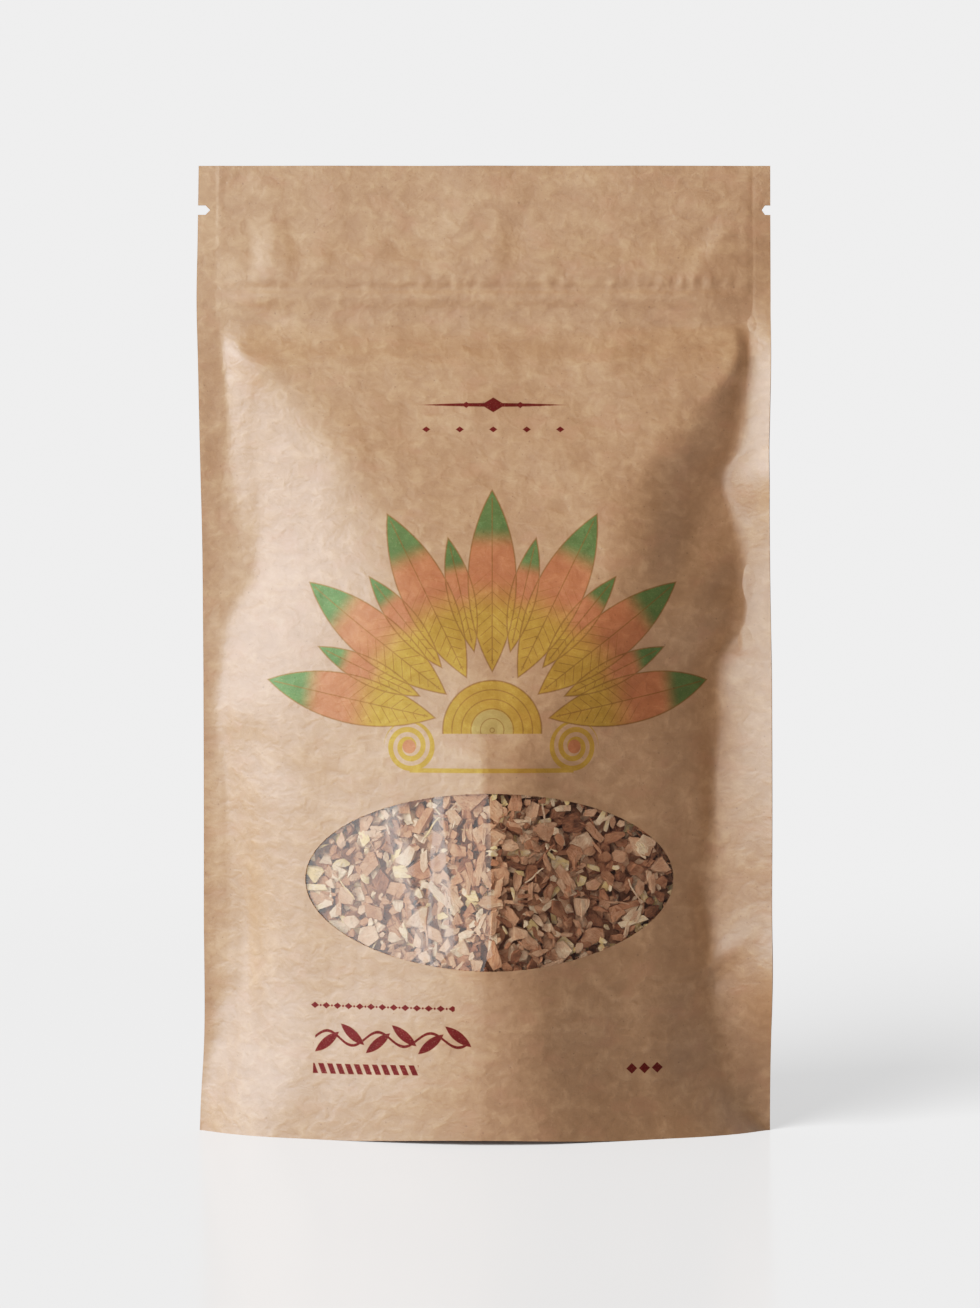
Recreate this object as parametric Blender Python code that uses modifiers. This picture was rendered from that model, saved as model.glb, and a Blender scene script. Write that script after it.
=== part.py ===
"""A filled kraft stand-up pouch of cut galangal root, at its real size.

The pouch stands on the rims of its front and back panels. The origin is on the floor, in the middle of
the base. The front faces -Y, +X is to the right when looking at the front, and +Z is up. Units are metres.
"""

import math
import random

import bmesh
import bpy
import numpy as np
from mathutils import Matrix, Vector

MM = 0.001

# Driving dimensions
WIDTH = 160 * MM
HEIGHT = 270 * MM
PAPER = 0.4 * MM
FILM = 0.3 * MM
CLEARANCE = 0.3 * MM
FOOT_SOFTNESS = 1.0
LEFT_WAVE = {"height": 1.3, "length": 27, "start": 0}
RIGHT_WAVE = {"height": 1.2, "length": 31, "start": 1.9}
WAVE_BAND = (25, 155, 215)
RIM_LIFT = 1.3 * MM
RIM_LIFT_REACH = 45 * MM
RIM_BAND = 0.3 * MM

WINDOW_CENTRE = (1.3 * MM, 70.5 * MM)
WINDOW_HALF = (50.0 * MM, 24.6 * MM)
FILM_OVERLAP = 4.5 * MM
FILM_CLEARANCE = 0.6 * MM

NOTCH_HEIGHT = 257.6 * MM
NOTCH_DEPTH = (3.4 * MM, 2.4 * MM)
NOTCH_HALF_OPENING = 1.3 * MM
NOTCH_STRAIGHT = 0.62
NOTCH_OUTSIDE = 2 * MM
CUTTER_REACH = 4 * MM

ZIP_CENTRE = 236.5 * MM
ZIP_HALF_LENGTH = 71.0 * MM
ZIP_FLANGE = 10.0
ZIP_SHEET = 0.4
ZIP_FRONT = -1.35
ZIP_BACK = 1.3
RIB_STEM = 0.3
RIB_HEAD = 0.65
RIB_TIP = (0.05, 0.5)
CHANNEL_MOUTH = 0.62
CHANNEL_INSIDE = 1.1
CHANNEL_OUTSIDE = 1.7
CHANNEL_LIP = (-0.45, -0.27)

GUSSET_END = 73.0 * MM
GUSSET_SEAL = 6.0 * MM
GUSSET_SEAL_SHARE = 0.72
GUSSET_FOOT = 0.6 * MM
GUSSET_CLEARANCE = 0.65 * MM
GUSSET_CORNER = 55 * MM

FILL_END = 62.0 * MM
FILL_TOP = 152.0 * MM
FILL_SHORT_OF_FOOT = 7.0 * MM
FILL_ABOVE_GUSSET = 2.8 * MM
FILL_CORE_DEPTH = 4.2 * MM
FILL_THINNEST = 2.0 * MM
FILL_PINCH = 0.3
FILL_CLEARANCE = 1.5 * MM
FILL_LEAN = 0.15
FILL_HEAP = 9 * MM
FILL_RIPPLE = 1.2 * MM
FILL_SEED = 7

# Cut pieces, laid on staggered rows at a pitch: small where the window shows them, larger elsewhere
WINDOW_CHIP = {"pitch": 6.0 * MM, "size": 8.0 * MM, "thickness": 4.2 * MM, "band": (40 * MM, 101 * MM)}
PANEL_CHIP = {"pitch": 15.0 * MM, "size": 15.0 * MM, "thickness": 6.4 * MM, "band": (16 * MM, 146 * MM)}
CHIP_TILT = 0.35
CHIP_UNEVEN = 0.85 * MM
ROW_PITCH_SHARE = 0.87
ROW_KNOCK = 0.18

# Each curve below is a list of (height, value) pairs in millimetres, from the floor up.
# crown: how far the panel stands out at its middle. foot: where the bulge starts beside the seal.
# crest: where its side slope ends. round: 1 is a flat side facet, 2 is a rounded one.
FRONT = {
    "crown": [(0, 33.1), (12, 33.1), (34, 33.3), (60, 32.3), (97, 29.3), (120, 26.0), (150, 20.3), (172, 15.3),
              (189, 10.9), (206, 6.6), (215, 4.3), (222, 2.0), (227, 1.1), (234, 1.7), (241, 1.6),
              (248, 0.9), (262, 0.55), (270, 0.25)],
    "left_foot": [(0, 79.3), (17, 75.5), (33, 70.5), (81, 70.5), (127, 73.2), (144, 71.2), (155, 65.8),
                  (164, 65.8), (178, 69.8), (218, 73.3), (224, 74.1), (270, 74.2)],
    "right_foot": [(0, 79.3), (12, 72.0), (44, 65.2), (64, 60.5), (114, 64.5), (131, 65.2), (142, 72.3),
                   (155, 73.0), (172, 70.2), (185, 66.6), (203, 72.3), (220, 73.4), (225, 74.1), (270, 74.2)],
    "left_crest": [(0, 0.0), (60, 0.0), (97, 6.0), (135, 16.0), (172, 30.0), (189, 41.4), (206, 55.6),
                   (222, 71.2), (235, 72.9), (270, 72.9)],
    "right_crest": [(0, 0.0), (60, 4.0), (97, 13.0), (135, 26.0), (169, 38.2), (182, 43.9), (199, 58.1),
                    (220, 71.2), (235, 72.9), (270, 72.9)],
    "round": [(0, 2.0), (60, 2.05), (100, 1.9), (150, 1.5), (190, 1.22), (222, 1.1), (270, 1.3)],
}
BACK = {
    "crown": [(0, 31.2), (12, 31.2), (34, 31.2), (60, 30.4), (95, 28.0), (120, 25.0), (150, 19.5), (170, 15.0),
              (188, 10.6), (205, 6.4), (215, 3.9), (222, 1.9), (227, 1.2), (234, 1.6), (241, 1.5),
              (248, 0.9), (262, 0.5), (270, 0.25)],
    "left_foot": [(0, 79.3), (14, 74.0), (40, 67.5), (70, 69.5), (95, 64.5), (125, 70.0), (150, 72.5),
                  (175, 68.0), (195, 71.5), (218, 73.0), (224, 74.1), (270, 74.2)],
    "right_foot": [(0, 79.3), (16, 75.0), (36, 71.5), (85, 71.0), (110, 66.5), (128, 70.5), (160, 72.5),
                   (180, 71.0), (218, 73.4), (225, 74.1), (270, 74.2)],
    "left_crest": [(0, 0.0), (60, 2.0), (97, 9.0), (135, 20.0), (172, 35.0), (189, 46.0), (206, 58.0),
                   (222, 71.2), (235, 72.9), (270, 72.9)],
    "right_crest": [(0, 0.0), (60, 0.0), (97, 8.0), (135, 18.0), (169, 33.0), (182, 41.0), (199, 55.0),
                    (220, 71.2), (235, 72.9), (270, 72.9)],
    "round": [(0, 2.0), (60, 2.0), (100, 1.85), (150, 1.5), (190, 1.25), (222, 1.1), (270, 1.3)],
}
LEFT_EDGE = [(0, 79.8), (8, 79.5), (22, 78.8), (60, 78.8), (100, 78.7), (142, 78.9), (165, 79.2),
             (187, 79.8), (215, 80.4), (232, 80.8), (250, 80.5), (270, 80.2)]
RIGHT_EDGE = [(0, 79.8), (30, 79.8), (98, 80.3), (154, 80.1), (176, 79.5), (187, 79.2), (199, 79.5),
              (220, 80.1), (270, 80.0)]
GUSSET_FOLD = [(0, 2.6), (14, 2.8), (27, 7.0), (38, 16.5), (48, 26.0), (55, 29.5), (60, 27.0), (65, 18.0),
               (69, 11.0), (73, 8.0)]

# The columns of the panel meshes follow the folds: 0 is the middle, 1 the crest, 2 the foot and 3 the edge,
# with the left side below zero. Their rows are heights in millimetres.
FRONT_HALF_COLUMNS = [0.36, 0.7, 1, 1.11, 1.23, 1.36, 1.5, 1.64, 1.78, 1.9, 2, 3]
BACK_HALF_COLUMNS = [0.5, 1, 1.2, 1.42, 1.66, 1.85, 2, 3]
NARROWEST_CREST = 11.0
FRONT_ROWS = [0, 5, 11, 18, 26, 35, 45, 55, 65, 75, 85, 95, 105, 115, 124, 132, 140, 148, 155, 163,
              171, 179, 187, 195, 203, 210, 216, 221, 226, 231, 236, 241, 247, 258, HEIGHT / MM]
BACK_ROWS = [0, 6, 14, 25, 38, 52, 66, 80, 94, 108, 122, 136, 149, 161, 173, 184, 195, 205, 214, 221,
             227, 232, 237, 242, 248, HEIGHT / MM]

KRAFT = ((0.52, 0.36, 0.23, 1.0), 0.85, 0.0)
CLEAR = ((0.92, 0.94, 0.95, 0.25), 0.12, 0.0)
ZIP_PLASTIC = ((0.86, 0.86, 0.84, 1.0), 0.4, 0.0)
ROOT = ((0.55, 0.36, 0.22, 1.0), 0.9, 0.0)


def through(points, at):
    """Reads a smooth curve through (place, value) pairs at the places `at`."""
    places, values = np.array(points, float).T
    slopes = np.gradient(values, places)
    at = np.clip(at, places[0], places[-1])
    i = np.clip(np.searchsorted(places, at) - 1, 0, len(places) - 2)
    span = places[i + 1] - places[i]
    t = (at - places[i]) / span
    start = (1 + 2 * t) * (1 - t) ** 2 * values[i] + t * (1 - t) ** 2 * span * slopes[i]
    end = t * t * (3 - 2 * t) * values[i + 1] - t * t * (1 - t) * span * slopes[i + 1]
    return start + end


def bulge(shape, x, z):
    """How far a panel's inner face stands out from the seals' plane, in metres."""
    x_mm, z_mm = np.asarray(x) / MM, np.asarray(z) / MM
    foot = np.where(x_mm < 0, through(shape["left_foot"], z_mm), through(shape["right_foot"], z_mm))
    crest = np.where(x_mm < 0, through(shape["left_crest"], z_mm), through(shape["right_crest"], z_mm))
    inside = foot - np.abs(x_mm)
    inside = 0.5 * (inside + np.sqrt(inside**2 + FOOT_SOFTNESS**2))
    rise = np.clip(inside / np.maximum(foot - crest, 0.5), 0, 1)
    section = 1 - (1 - rise) ** through(shape["round"], z_mm)
    return through(shape["crown"], z_mm) * section * MM


def seal_wave(x, z):
    """How far the plane of the side seals waves back and forth. The rims and the header stay flat."""
    z_mm = np.asarray(z) / MM
    low, high, flat = WAVE_BAND
    strength = np.clip((flat - z_mm) / (flat - high), 0, 1) * np.clip(z_mm / low, 0, 1)
    left, right = (
        wave["height"] * np.sin(z_mm / wave["length"] + wave["start"]) for wave in (LEFT_WAVE, RIGHT_WAVE)
    )
    share = np.asarray(x) / WIDTH + 0.5
    return strength * (left * (1 - share) + right * share) * MM


def front_face(x, z):
    """Y of the front panel's inner face."""
    return seal_wave(x, z) - CLEARANCE / 2 - bulge(FRONT, x, z)


def back_face(x, z):
    """Y of the back panel's inner face."""
    return seal_wave(x, z) + CLEARANCE / 2 + bulge(BACK, x, z)


def both_sides(half):
    """Columns for both sides of a panel, from those to the right of its middle."""
    return [-column for column in reversed(half)] + [0] + half


def across(column, shape, z):
    """X of a mesh column at a height."""
    side = "left" if column < 0 else "right"
    edge = LEFT_EDGE if column < 0 else RIGHT_EDGE
    crest = max(float(through(shape[side + "_crest"], z / MM)), NARROWEST_CREST)
    foot = float(through(shape[side + "_foot"], z / MM))
    x = np.interp(abs(column), [0, 1, 2, 3], [0, crest, foot, float(through(edge, z / MM))])
    return math.copysign(x, column) * MM


def paint(obj, name, finish):
    """Gives an object its own material."""
    colour, roughness, metallic = finish
    material = bpy.data.materials.new(name)
    material.use_nodes = True
    shader = material.node_tree.nodes["Principled BSDF"]
    shader.inputs["Base Color"].default_value = colour
    shader.inputs["Alpha"].default_value = colour[3]
    shader.inputs["Roughness"].default_value = roughness
    shader.inputs["Metallic"].default_value = metallic
    obj.data.materials.clear()
    obj.data.materials.append(material)


def into(collection, obj):
    """Moves an object into one collection."""
    for holder in list(obj.users_collection):
        holder.objects.unlink(obj)
    collection.objects.link(obj)


def formed_grid(name, columns, rows, place):
    """A grid of columns by rows, each vertex moved to place(column, row)."""
    bpy.ops.mesh.primitive_grid_add(x_subdivisions=columns - 1, y_subdivisions=rows - 1, size=1)
    obj = bpy.context.object
    obj.name = obj.data.name = name
    for vertex in obj.data.vertices:
        column = round((vertex.co.x + 0.5) * (columns - 1))
        row = round((vertex.co.y + 0.5) * (rows - 1))
        vertex.co = Vector(place(column, row))
    return obj


def thicken(obj, thickness, offset):
    """Turns an open sheet into a solid one."""
    modifier = obj.modifiers.new("Wall", "SOLIDIFY")
    modifier.thickness = thickness
    modifier.offset = offset
    modifier.use_even_offset = True
    modifier.thickness_clamp = 0


def cut_with(obj, cutter):
    """Cuts a cutter out of an object."""
    modifier = obj.modifiers.new("Cut " + cutter.name, "BOOLEAN")
    modifier.operation = "DIFFERENCE"
    modifier.solver = "EXACT"
    modifier.object = cutter


def apply_modifiers(obj):
    """Replaces an object's mesh by its evaluated one."""
    graph = bpy.context.evaluated_depsgraph_get()
    made = bpy.data.meshes.new_from_object(obj.evaluated_get(graph))
    obj.modifiers.clear()
    obj.data = made


def hide_cutter(obj, cutters):
    """Keeps a cutter out of the model."""
    obj.hide_render = True
    obj.display_type = "WIRE"
    into(cutters, obj)


def rim_height(x):
    """The front rim is lifted a little off the floor at its middle."""
    share = np.clip(1 - (np.asarray(x) / RIM_LIFT_REACH) ** 2, 0, 1)
    return RIM_LIFT * share**2


def level_rim(obj, lifted):
    """Cuts the edge that stands on the floor square to it."""
    for vertex in obj.data.vertices:
        rim = float(rim_height(vertex.co.x)) if lifted else 0.0
        if vertex.co.z < rim + RIM_BAND:
            vertex.co.z = rim


def panel(name, shape, half_columns, rows, face, offset, lifted):
    """A kraft panel with its inner face on the given surface."""
    columns = both_sides(half_columns)

    def place(column, row):
        z = rows[row] * MM
        x = across(columns[column], shape, z)
        y = float(face(x, z))
        if lifted:
            z += float(rim_height(x)) * max(0, 1 - z / RIM_LIFT_REACH)
        return x, y, z

    obj = formed_grid(name, len(columns), len(rows), place)
    thicken(obj, PAPER, offset)
    apply_modifiers(obj)
    level_rim(obj, lifted)
    return obj


def window_cutter(cutters):
    """An oval rod that cuts the window out of the front panel."""
    bpy.ops.mesh.primitive_cylinder_add(vertices=56, radius=1, depth=1)
    cutter = bpy.context.object
    cutter.name = "window_cutter"
    cutter.data.transform(Matrix.Rotation(math.pi / 2, 4, "X"))
    cutter.data.transform(Matrix.Diagonal((WINDOW_HALF[0], 60 * MM, WINDOW_HALF[1], 1)))
    cutter.location = (WINDOW_CENTRE[0], -35 * MM, WINDOW_CENTRE[1])
    hide_cutter(cutter, cutters)
    return cutter


def notch_cutter(name, side, depth, cutters):
    """A tear notch: a slot whose inner end comes to a point."""
    edge = side * through(RIGHT_EDGE if side > 0 else LEFT_EDGE, NOTCH_HEIGHT / MM) * MM
    outline = bpy.data.curves.new(name, "CURVE")
    outline.dimensions = "2D"
    outline.fill_mode = "BOTH"
    outline.extrude = CUTTER_REACH
    spline = outline.splines.new("POLY")
    half, straight = NOTCH_HALF_OPENING, NOTCH_STRAIGHT * depth
    points = [(-NOTCH_OUTSIDE, -half), (straight, -half), (depth, 0), (straight, half), (-NOTCH_OUTSIDE, half)]
    spline.points.add(len(points) - 1)
    for point, (along, up) in zip(spline.points, points):
        point.co = (-side * along, up, 0, 1)
    spline.use_cyclic_u = True
    guide = bpy.data.objects.new(name + "_outline", outline)
    bpy.context.scene.collection.objects.link(guide)
    guide.rotation_euler = (math.pi / 2, 0, 0)
    guide.location = (edge, 0, NOTCH_HEIGHT)
    bpy.context.view_layer.update()
    cutter = meshed(guide, name)
    hide_cutter(cutter, cutters)
    return cutter


def meshed(guide, name):
    """Turns a curve object into a closed mesh object in its place."""
    graph = bpy.context.evaluated_depsgraph_get()
    mesh = bpy.data.meshes.new_from_object(guide.evaluated_get(graph))
    work = bmesh.new()
    work.from_mesh(mesh)
    bmesh.ops.remove_doubles(work, verts=work.verts, dist=1e-6)
    bmesh.ops.recalc_face_normals(work, faces=work.faces)
    work.to_mesh(mesh)
    work.free()
    obj = bpy.data.objects.new(name, mesh)
    obj.matrix_world = guide.matrix_world
    bpy.context.scene.collection.objects.link(obj)
    bpy.data.objects.remove(guide)
    return obj


def slope_allowance(face, x, z):
    """How much longer a gap is along Y than square to a sloping face."""
    step = 1 * MM
    across_slope = (face(x + step, z) - face(x - step, z)) / (2 * step)
    up_slope = (face(x, z + step) - face(x, z - step)) / (2 * step)
    return float(np.sqrt(1 + across_slope**2 + up_slope**2))


def window_film(columns=17, rows=11):
    """A clear sheet behind the window, glued round it to the panel's inner face."""
    half_x, half_z = (half + FILM_OVERLAP for half in WINDOW_HALF)

    def place(column, row):
        # A square is drawn out to an oval: its corners move in along the diagonals.
        a, b = 2 * column / (columns - 1) - 1, 2 * row / (rows - 1) - 1
        x = WINDOW_CENTRE[0] + half_x * a * math.sqrt(1 - b * b / 2)
        z = WINDOW_CENTRE[1] + half_z * b * math.sqrt(1 - a * a / 2)
        return x, float(front_face(x, z)) + FILM_CLEARANCE * slope_allowance(front_face, x, z), z

    obj = formed_grid("window_film", columns, rows, place)
    thicken(obj, FILM, -1)
    return obj


def gusset_height(x, share):
    """Height of the gusset between its seals. share runs from -1 at the front seal to 1 at the back one."""
    fold = float(through(GUSSET_FOLD, abs(x) / MM)) * MM
    return GUSSET_SEAL + (fold - GUSSET_SEAL) * (1 - share**2)


def gusset_section(x, t):
    """Y and Z of the gusset's underside at a share t across it, from -1 at the front to 1 at the back."""
    share = max(-1, min(1, t / GUSSET_SEAL_SHARE))
    if abs(share) < 1:
        z = gusset_height(x, share)
    else:
        z = max(GUSSET_SEAL * (1 - abs(t)) / (1 - GUSSET_SEAL_SHARE), GUSSET_FOOT)
    wall = GUSSET_CLEARANCE + PAPER
    front = float(front_face(x, z)) + wall * slope_allowance(front_face, x, z)
    back = float(back_face(x, z)) - wall * slope_allowance(back_face, x, z)
    lift = float(rim_height(x)) * max(0, 1 - z / GUSSET_SEAL) if t < 0 else 0
    return (front + back) / 2 + (back - front) / 2 * share, z + lift


def bottom_gusset(columns=25, rows=13):
    """The folded bottom panel, opened by the weight of the root."""

    def place(column, row):
        x = GUSSET_END * math.sin(math.pi / 2 * (2 * column / (columns - 1) - 1))
        y, z = gusset_section(x, 2 * row / (rows - 1) - 1)
        return x, y, z

    obj = formed_grid("bottom_gusset", columns, rows, place)
    thicken(obj, PAPER, 1)
    return obj


def extruded_profile(name, points):
    """A plastic profile of (y, z) points in millimetres, run along X through the zip's length."""
    outline = bpy.data.curves.new(name, "CURVE")
    outline.dimensions = "2D"
    outline.fill_mode = "BOTH"
    outline.extrude = ZIP_HALF_LENGTH
    spline = outline.splines.new("POLY")
    spline.points.add(len(points) - 1)
    for point, (y, z) in zip(spline.points, points):
        point.co = (y * MM, z * MM, 0, 1)
    spline.use_cyclic_u = True
    guide = bpy.data.objects.new(name + "_outline", outline)
    bpy.context.scene.collection.objects.link(guide)
    guide.matrix_world = Matrix(((0, 0, 1, 0), (1, 0, 0, 0), (0, 1, 0, ZIP_CENTRE), (0, 0, 0, 1)))
    bpy.context.view_layer.update()
    return meshed(guide, name)


def mirrored(points):
    """An outline from its lower half, given as (y, z) points from one end to the other."""
    return points + [(y, -z) for y, z in reversed(points)]


def zip_profiles():
    """The press-to-close zip: a rib on the front web and a channel on the back web."""
    half = ZIP_FLANGE / 2
    web = ZIP_FRONT + ZIP_SHEET
    neck, tip = RIB_TIP
    rib = [(ZIP_FRONT, -half), (web, -half), (web, -RIB_STEM), (neck, -RIB_STEM), (neck, -RIB_HEAD)]
    rib += [(tip, 0)] + [(y, -z) for y, z in reversed(rib)]
    floor = ZIP_BACK - ZIP_SHEET
    mouth, inside = CHANNEL_LIP
    channel = [
        (ZIP_BACK, -half), (floor, -half), (floor, -CHANNEL_OUTSIDE), (mouth, -CHANNEL_OUTSIDE),
        (mouth, -CHANNEL_MOUTH), (inside, -CHANNEL_MOUTH), (inside, -CHANNEL_INSIDE), (floor, -CHANNEL_INSIDE),
    ]
    return extruded_profile("zip_rib", rib), extruded_profile("zip_channel", mirrored(channel))


def fill_top(x):
    """The root lies heaped a little towards the right."""
    return FILL_TOP - FILL_HEAP * (x / FILL_END - FILL_LEAN) ** 2 + FILL_RIPPLE * math.sin(x / (9 * MM))


def fill_end(x, z):
    """How far out to a side the root reaches."""
    side = "left_foot" if x < 0 else "right_foot"
    foot = min(float(through(shape[side], z / MM)) for shape in (FRONT, BACK))
    return foot * MM - FILL_SHORT_OF_FOOT


def fill_bottom(x, share):
    """The root rests on the opened gusset, and outside its two raised corners it comes down no further."""
    x = max(-GUSSET_CORNER, min(GUSSET_CORNER, x))
    return max(gusset_height(x, share), gusset_height(x, 0.5 * share)) + FILL_ABOVE_GUSSET


def fill_core(cuts=8):
    """The packed mass of root, up to where its outer pieces stand out of it."""
    bpy.ops.mesh.primitive_cube_add(size=2)
    core = bpy.context.object
    core.name = core.data.name = "cut_root"
    work = bmesh.new()
    work.from_mesh(core.data)
    bmesh.ops.subdivide_edges(work, edges=work.edges, cuts=cuts, use_grid_fill=True)
    for vertex in work.verts:
        a, b, c = vertex.co
        share = math.sin(math.pi / 2 * a)
        x = FILL_END * share
        for _ in range(3):
            low = fill_bottom(x, b)
            z = low + (fill_top(x) - low) * (c + 1) / 2
            x = fill_end(x, z) * share
        front = float(front_face(x, z)) + FILL_CORE_DEPTH * slope_allowance(front_face, x, z)
        back = float(back_face(x, z)) - FILL_CORE_DEPTH * slope_allowance(back_face, x, z)
        half = max((back - front) / 2, FILL_THINNEST / 2)
        vertex.co = (x, (front + back) / 2 + half * b * (1 - FILL_PINCH * max(c, 0) ** 8), z)
    work.to_mesh(core.data)
    work.free()
    return core


def chip(draw, name, size, thickness):
    """One cut piece of root: the hull of a flat, uneven block with its corners knocked about."""
    work = bmesh.new()
    length = size * draw.uniform(0.8, 1.25)
    breadth = size * draw.uniform(0.5, 0.95)
    for side_x in (-1, 1):
        for side_y in (-1, 1):
            for side_z in (-1, 1):
                work.verts.new((
                    side_x * length / 2 * draw.uniform(0.45, 1),
                    side_y * thickness / 2 * draw.uniform(0.6, 1),
                    side_z * breadth / 2 * draw.uniform(0.45, 1),
                ))
    hull = bmesh.ops.convex_hull(work, input=work.verts)
    spare = [v for v in hull["geom_interior"] + hull["geom_unused"] if isinstance(v, bmesh.types.BMVert)]
    bmesh.ops.delete(work, geom=spare, context="VERTS")
    bmesh.ops.recalc_face_normals(work, faces=work.faces)
    mesh = bpy.data.meshes.new(name)
    work.to_mesh(mesh)
    work.free()
    return bpy.data.objects.new(name, mesh)


def turned_against(face, x, z, draw, tilt):
    """A turn that lays a chip flat against a face, then tips and spins it at random."""
    step = 2 * MM
    across_slope = float(face(x + step, z) - face(x - step, z)) / (2 * step)
    up_slope = float(face(x, z + step) - face(x, z - step)) / (2 * step)
    normal = Vector((across_slope, -1, up_slope)).normalized()
    lie = Vector((0, -1, 0)).rotation_difference(normal).to_matrix()
    spin = Matrix.Rotation(draw.uniform(0, 2 * math.pi), 3, "Y")
    tip = Matrix.Rotation(draw.uniform(-tilt, tilt), 3, "X")
    lean = Matrix.Rotation(draw.uniform(-tilt, tilt), 3, "Z")
    return lie @ tip @ lean @ spin


def lay_on_panel(obj, face, inward, x, z, draw, show):
    """Pushes a chip in from a panel until its outermost corner is `show` behind the panel."""
    turn = turned_against(face, x, z, draw, CHIP_TILT)
    if inward < 0:
        turn = Matrix.Rotation(math.pi, 3, "Z") @ turn
    obj.data.transform(turn.to_4x4())
    centre_y = float(face(x, z))
    nearest = min(
        (centre_y + v.co.y - float(face(x + v.co.x, z + v.co.z))) * inward for v in obj.data.vertices
    )
    shift = show * slope_allowance(face, x, z) - nearest
    obj.data.transform(Matrix.Translation((x, centre_y + inward * shift, z)))


def on_staggered_rows(pitch, low, high, half_width, draw):
    """Places on staggered rows, each one knocked a little out of line."""
    rows = int((high - low) / (pitch * ROW_PITCH_SHARE))
    for row in range(rows + 1):
        z = low + (high - low) * row / rows
        start = -half_width + (pitch / 2 if row % 2 else 0)
        for column in range(int((half_width - start) / pitch) + 1):
            x = start + column * pitch
            yield tuple(place + draw.uniform(-ROW_KNOCK, ROW_KNOCK) * pitch for place in (x, z))


def in_window(x, z, margin):
    """Whether a place is seen through the window, or nearly."""
    a = (x - WINDOW_CENTRE[0]) / (WINDOW_HALF[0] + margin)
    b = (z - WINDOW_CENTRE[1]) / (WINDOW_HALF[1] + margin)
    return a * a + b * b < 1


def shells(work):
    """The groups of faces of a bmesh that hang together."""
    left = set(work.faces)
    while left:
        shell, edge_of = set(), [left.pop()]
        while edge_of:
            face = edge_of.pop()
            shell.add(face)
            near = {other for edge in face.edges for other in edge.link_faces} & left
            left -= near
            edge_of.extend(near)
        yield shell


def shell_volume(shell):
    """Six times the volume that a shell encloses. It is below zero for a hollow."""
    total = 0.0
    for face in shell:
        corners = [vertex.co for vertex in face.verts]
        for second, third in zip(corners[1:], corners[2:]):
            total += corners[0].dot(second.cross(third))
    return total


def keep_outer_skin(mesh):
    """Fills the hollows that a union has sealed, and drops any loose scrap."""
    work = bmesh.new()
    work.from_mesh(mesh)
    found = sorted(shells(work), key=shell_volume)
    for shell in found[:-1]:
        bmesh.ops.delete(work, geom=list(shell), context="FACES")
    work.to_mesh(mesh)
    work.free()


def cut_root(chips):
    """The root: small pieces where the window shows them, larger ones over the rest, in one solid."""
    draw = random.Random(FILL_SEED)
    core = fill_core()
    made = []

    def add(face, inward, x, z, kind):
        piece = chip(draw, f"chip_{len(made):03d}", kind["size"], kind["thickness"])
        lay_on_panel(piece, face, inward, x, z, draw, FILL_CLEARANCE + draw.uniform(0, CHIP_UNEVEN))
        made.append(piece)

    for x, z in on_staggered_rows(WINDOW_CHIP["pitch"], *WINDOW_CHIP["band"], FILL_END - 6 * MM, draw):
        if in_window(x, z, 4 * MM):
            add(front_face, 1, x, z, WINDOW_CHIP)
    for face, inward, under_window in ((front_face, 1, True), (back_face, -1, False)):
        for x, z in on_staggered_rows(PANEL_CHIP["pitch"], *PANEL_CHIP["band"], FILL_END - 4 * MM, draw):
            if under_window and in_window(x, z, 7 * MM):
                continue
            if z > gusset_height(x, 0.4) + 10 * MM and abs(x) < fill_end(x, z) - 3 * MM:
                add(face, inward, x, z, PANEL_CHIP)
    for piece in made:
        chips.objects.link(piece)
    union = core.modifiers.new("Pieces", "BOOLEAN")
    union.operation = "UNION"
    union.operand_type = "COLLECTION"
    union.collection = chips
    union.solver = "MANIFOLD"
    apply_modifiers(core)
    keep_outer_skin(core.data)
    for piece in made:
        bpy.data.objects.remove(piece)
    return core


def main():
    for old in list(bpy.data.objects):
        bpy.data.objects.remove(old)
    pouch = bpy.data.collections.new("kraft_pouch_of_cut_root")
    cutters = bpy.data.collections.new("cutters")
    chips = bpy.data.collections.new("chips")
    for made in (pouch, cutters, chips):
        bpy.context.scene.collection.children.link(made)

    front = panel("front_panel", FRONT, FRONT_HALF_COLUMNS, FRONT_ROWS, front_face, 1, True)
    back = panel("back_panel", BACK, BACK_HALF_COLUMNS, BACK_ROWS, back_face, -1, False)
    left_notch = notch_cutter("left_notch", -1, NOTCH_DEPTH[0], cutters)
    right_notch = notch_cutter("right_notch", 1, NOTCH_DEPTH[1], cutters)
    cut_with(front, window_cutter(cutters))
    for sheet in (front, back):
        cut_with(sheet, left_notch)
        cut_with(sheet, right_notch)
    film = window_film()
    gusset = bottom_gusset()
    rib, channel = zip_profiles()
    root = cut_root(chips)

    for obj, finish in (
        (front, KRAFT), (back, KRAFT), (gusset, KRAFT), (film, CLEAR),
        (rib, ZIP_PLASTIC), (channel, ZIP_PLASTIC), (root, ROOT),
    ):
        paint(obj, obj.name + "_finish", finish)
        into(pouch, obj)


main()
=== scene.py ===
"""The looks of a filled kraft stand-up pouch of cut galangal root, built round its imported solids.

The pouch stands on the floor with its front towards -Y and +X to the right. Lengths are metres, and
the curves and lists of places named below are in millimetres.
"""

import math
import random

import bpy
import numpy as np
from mathutils import Matrix, Vector


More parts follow.
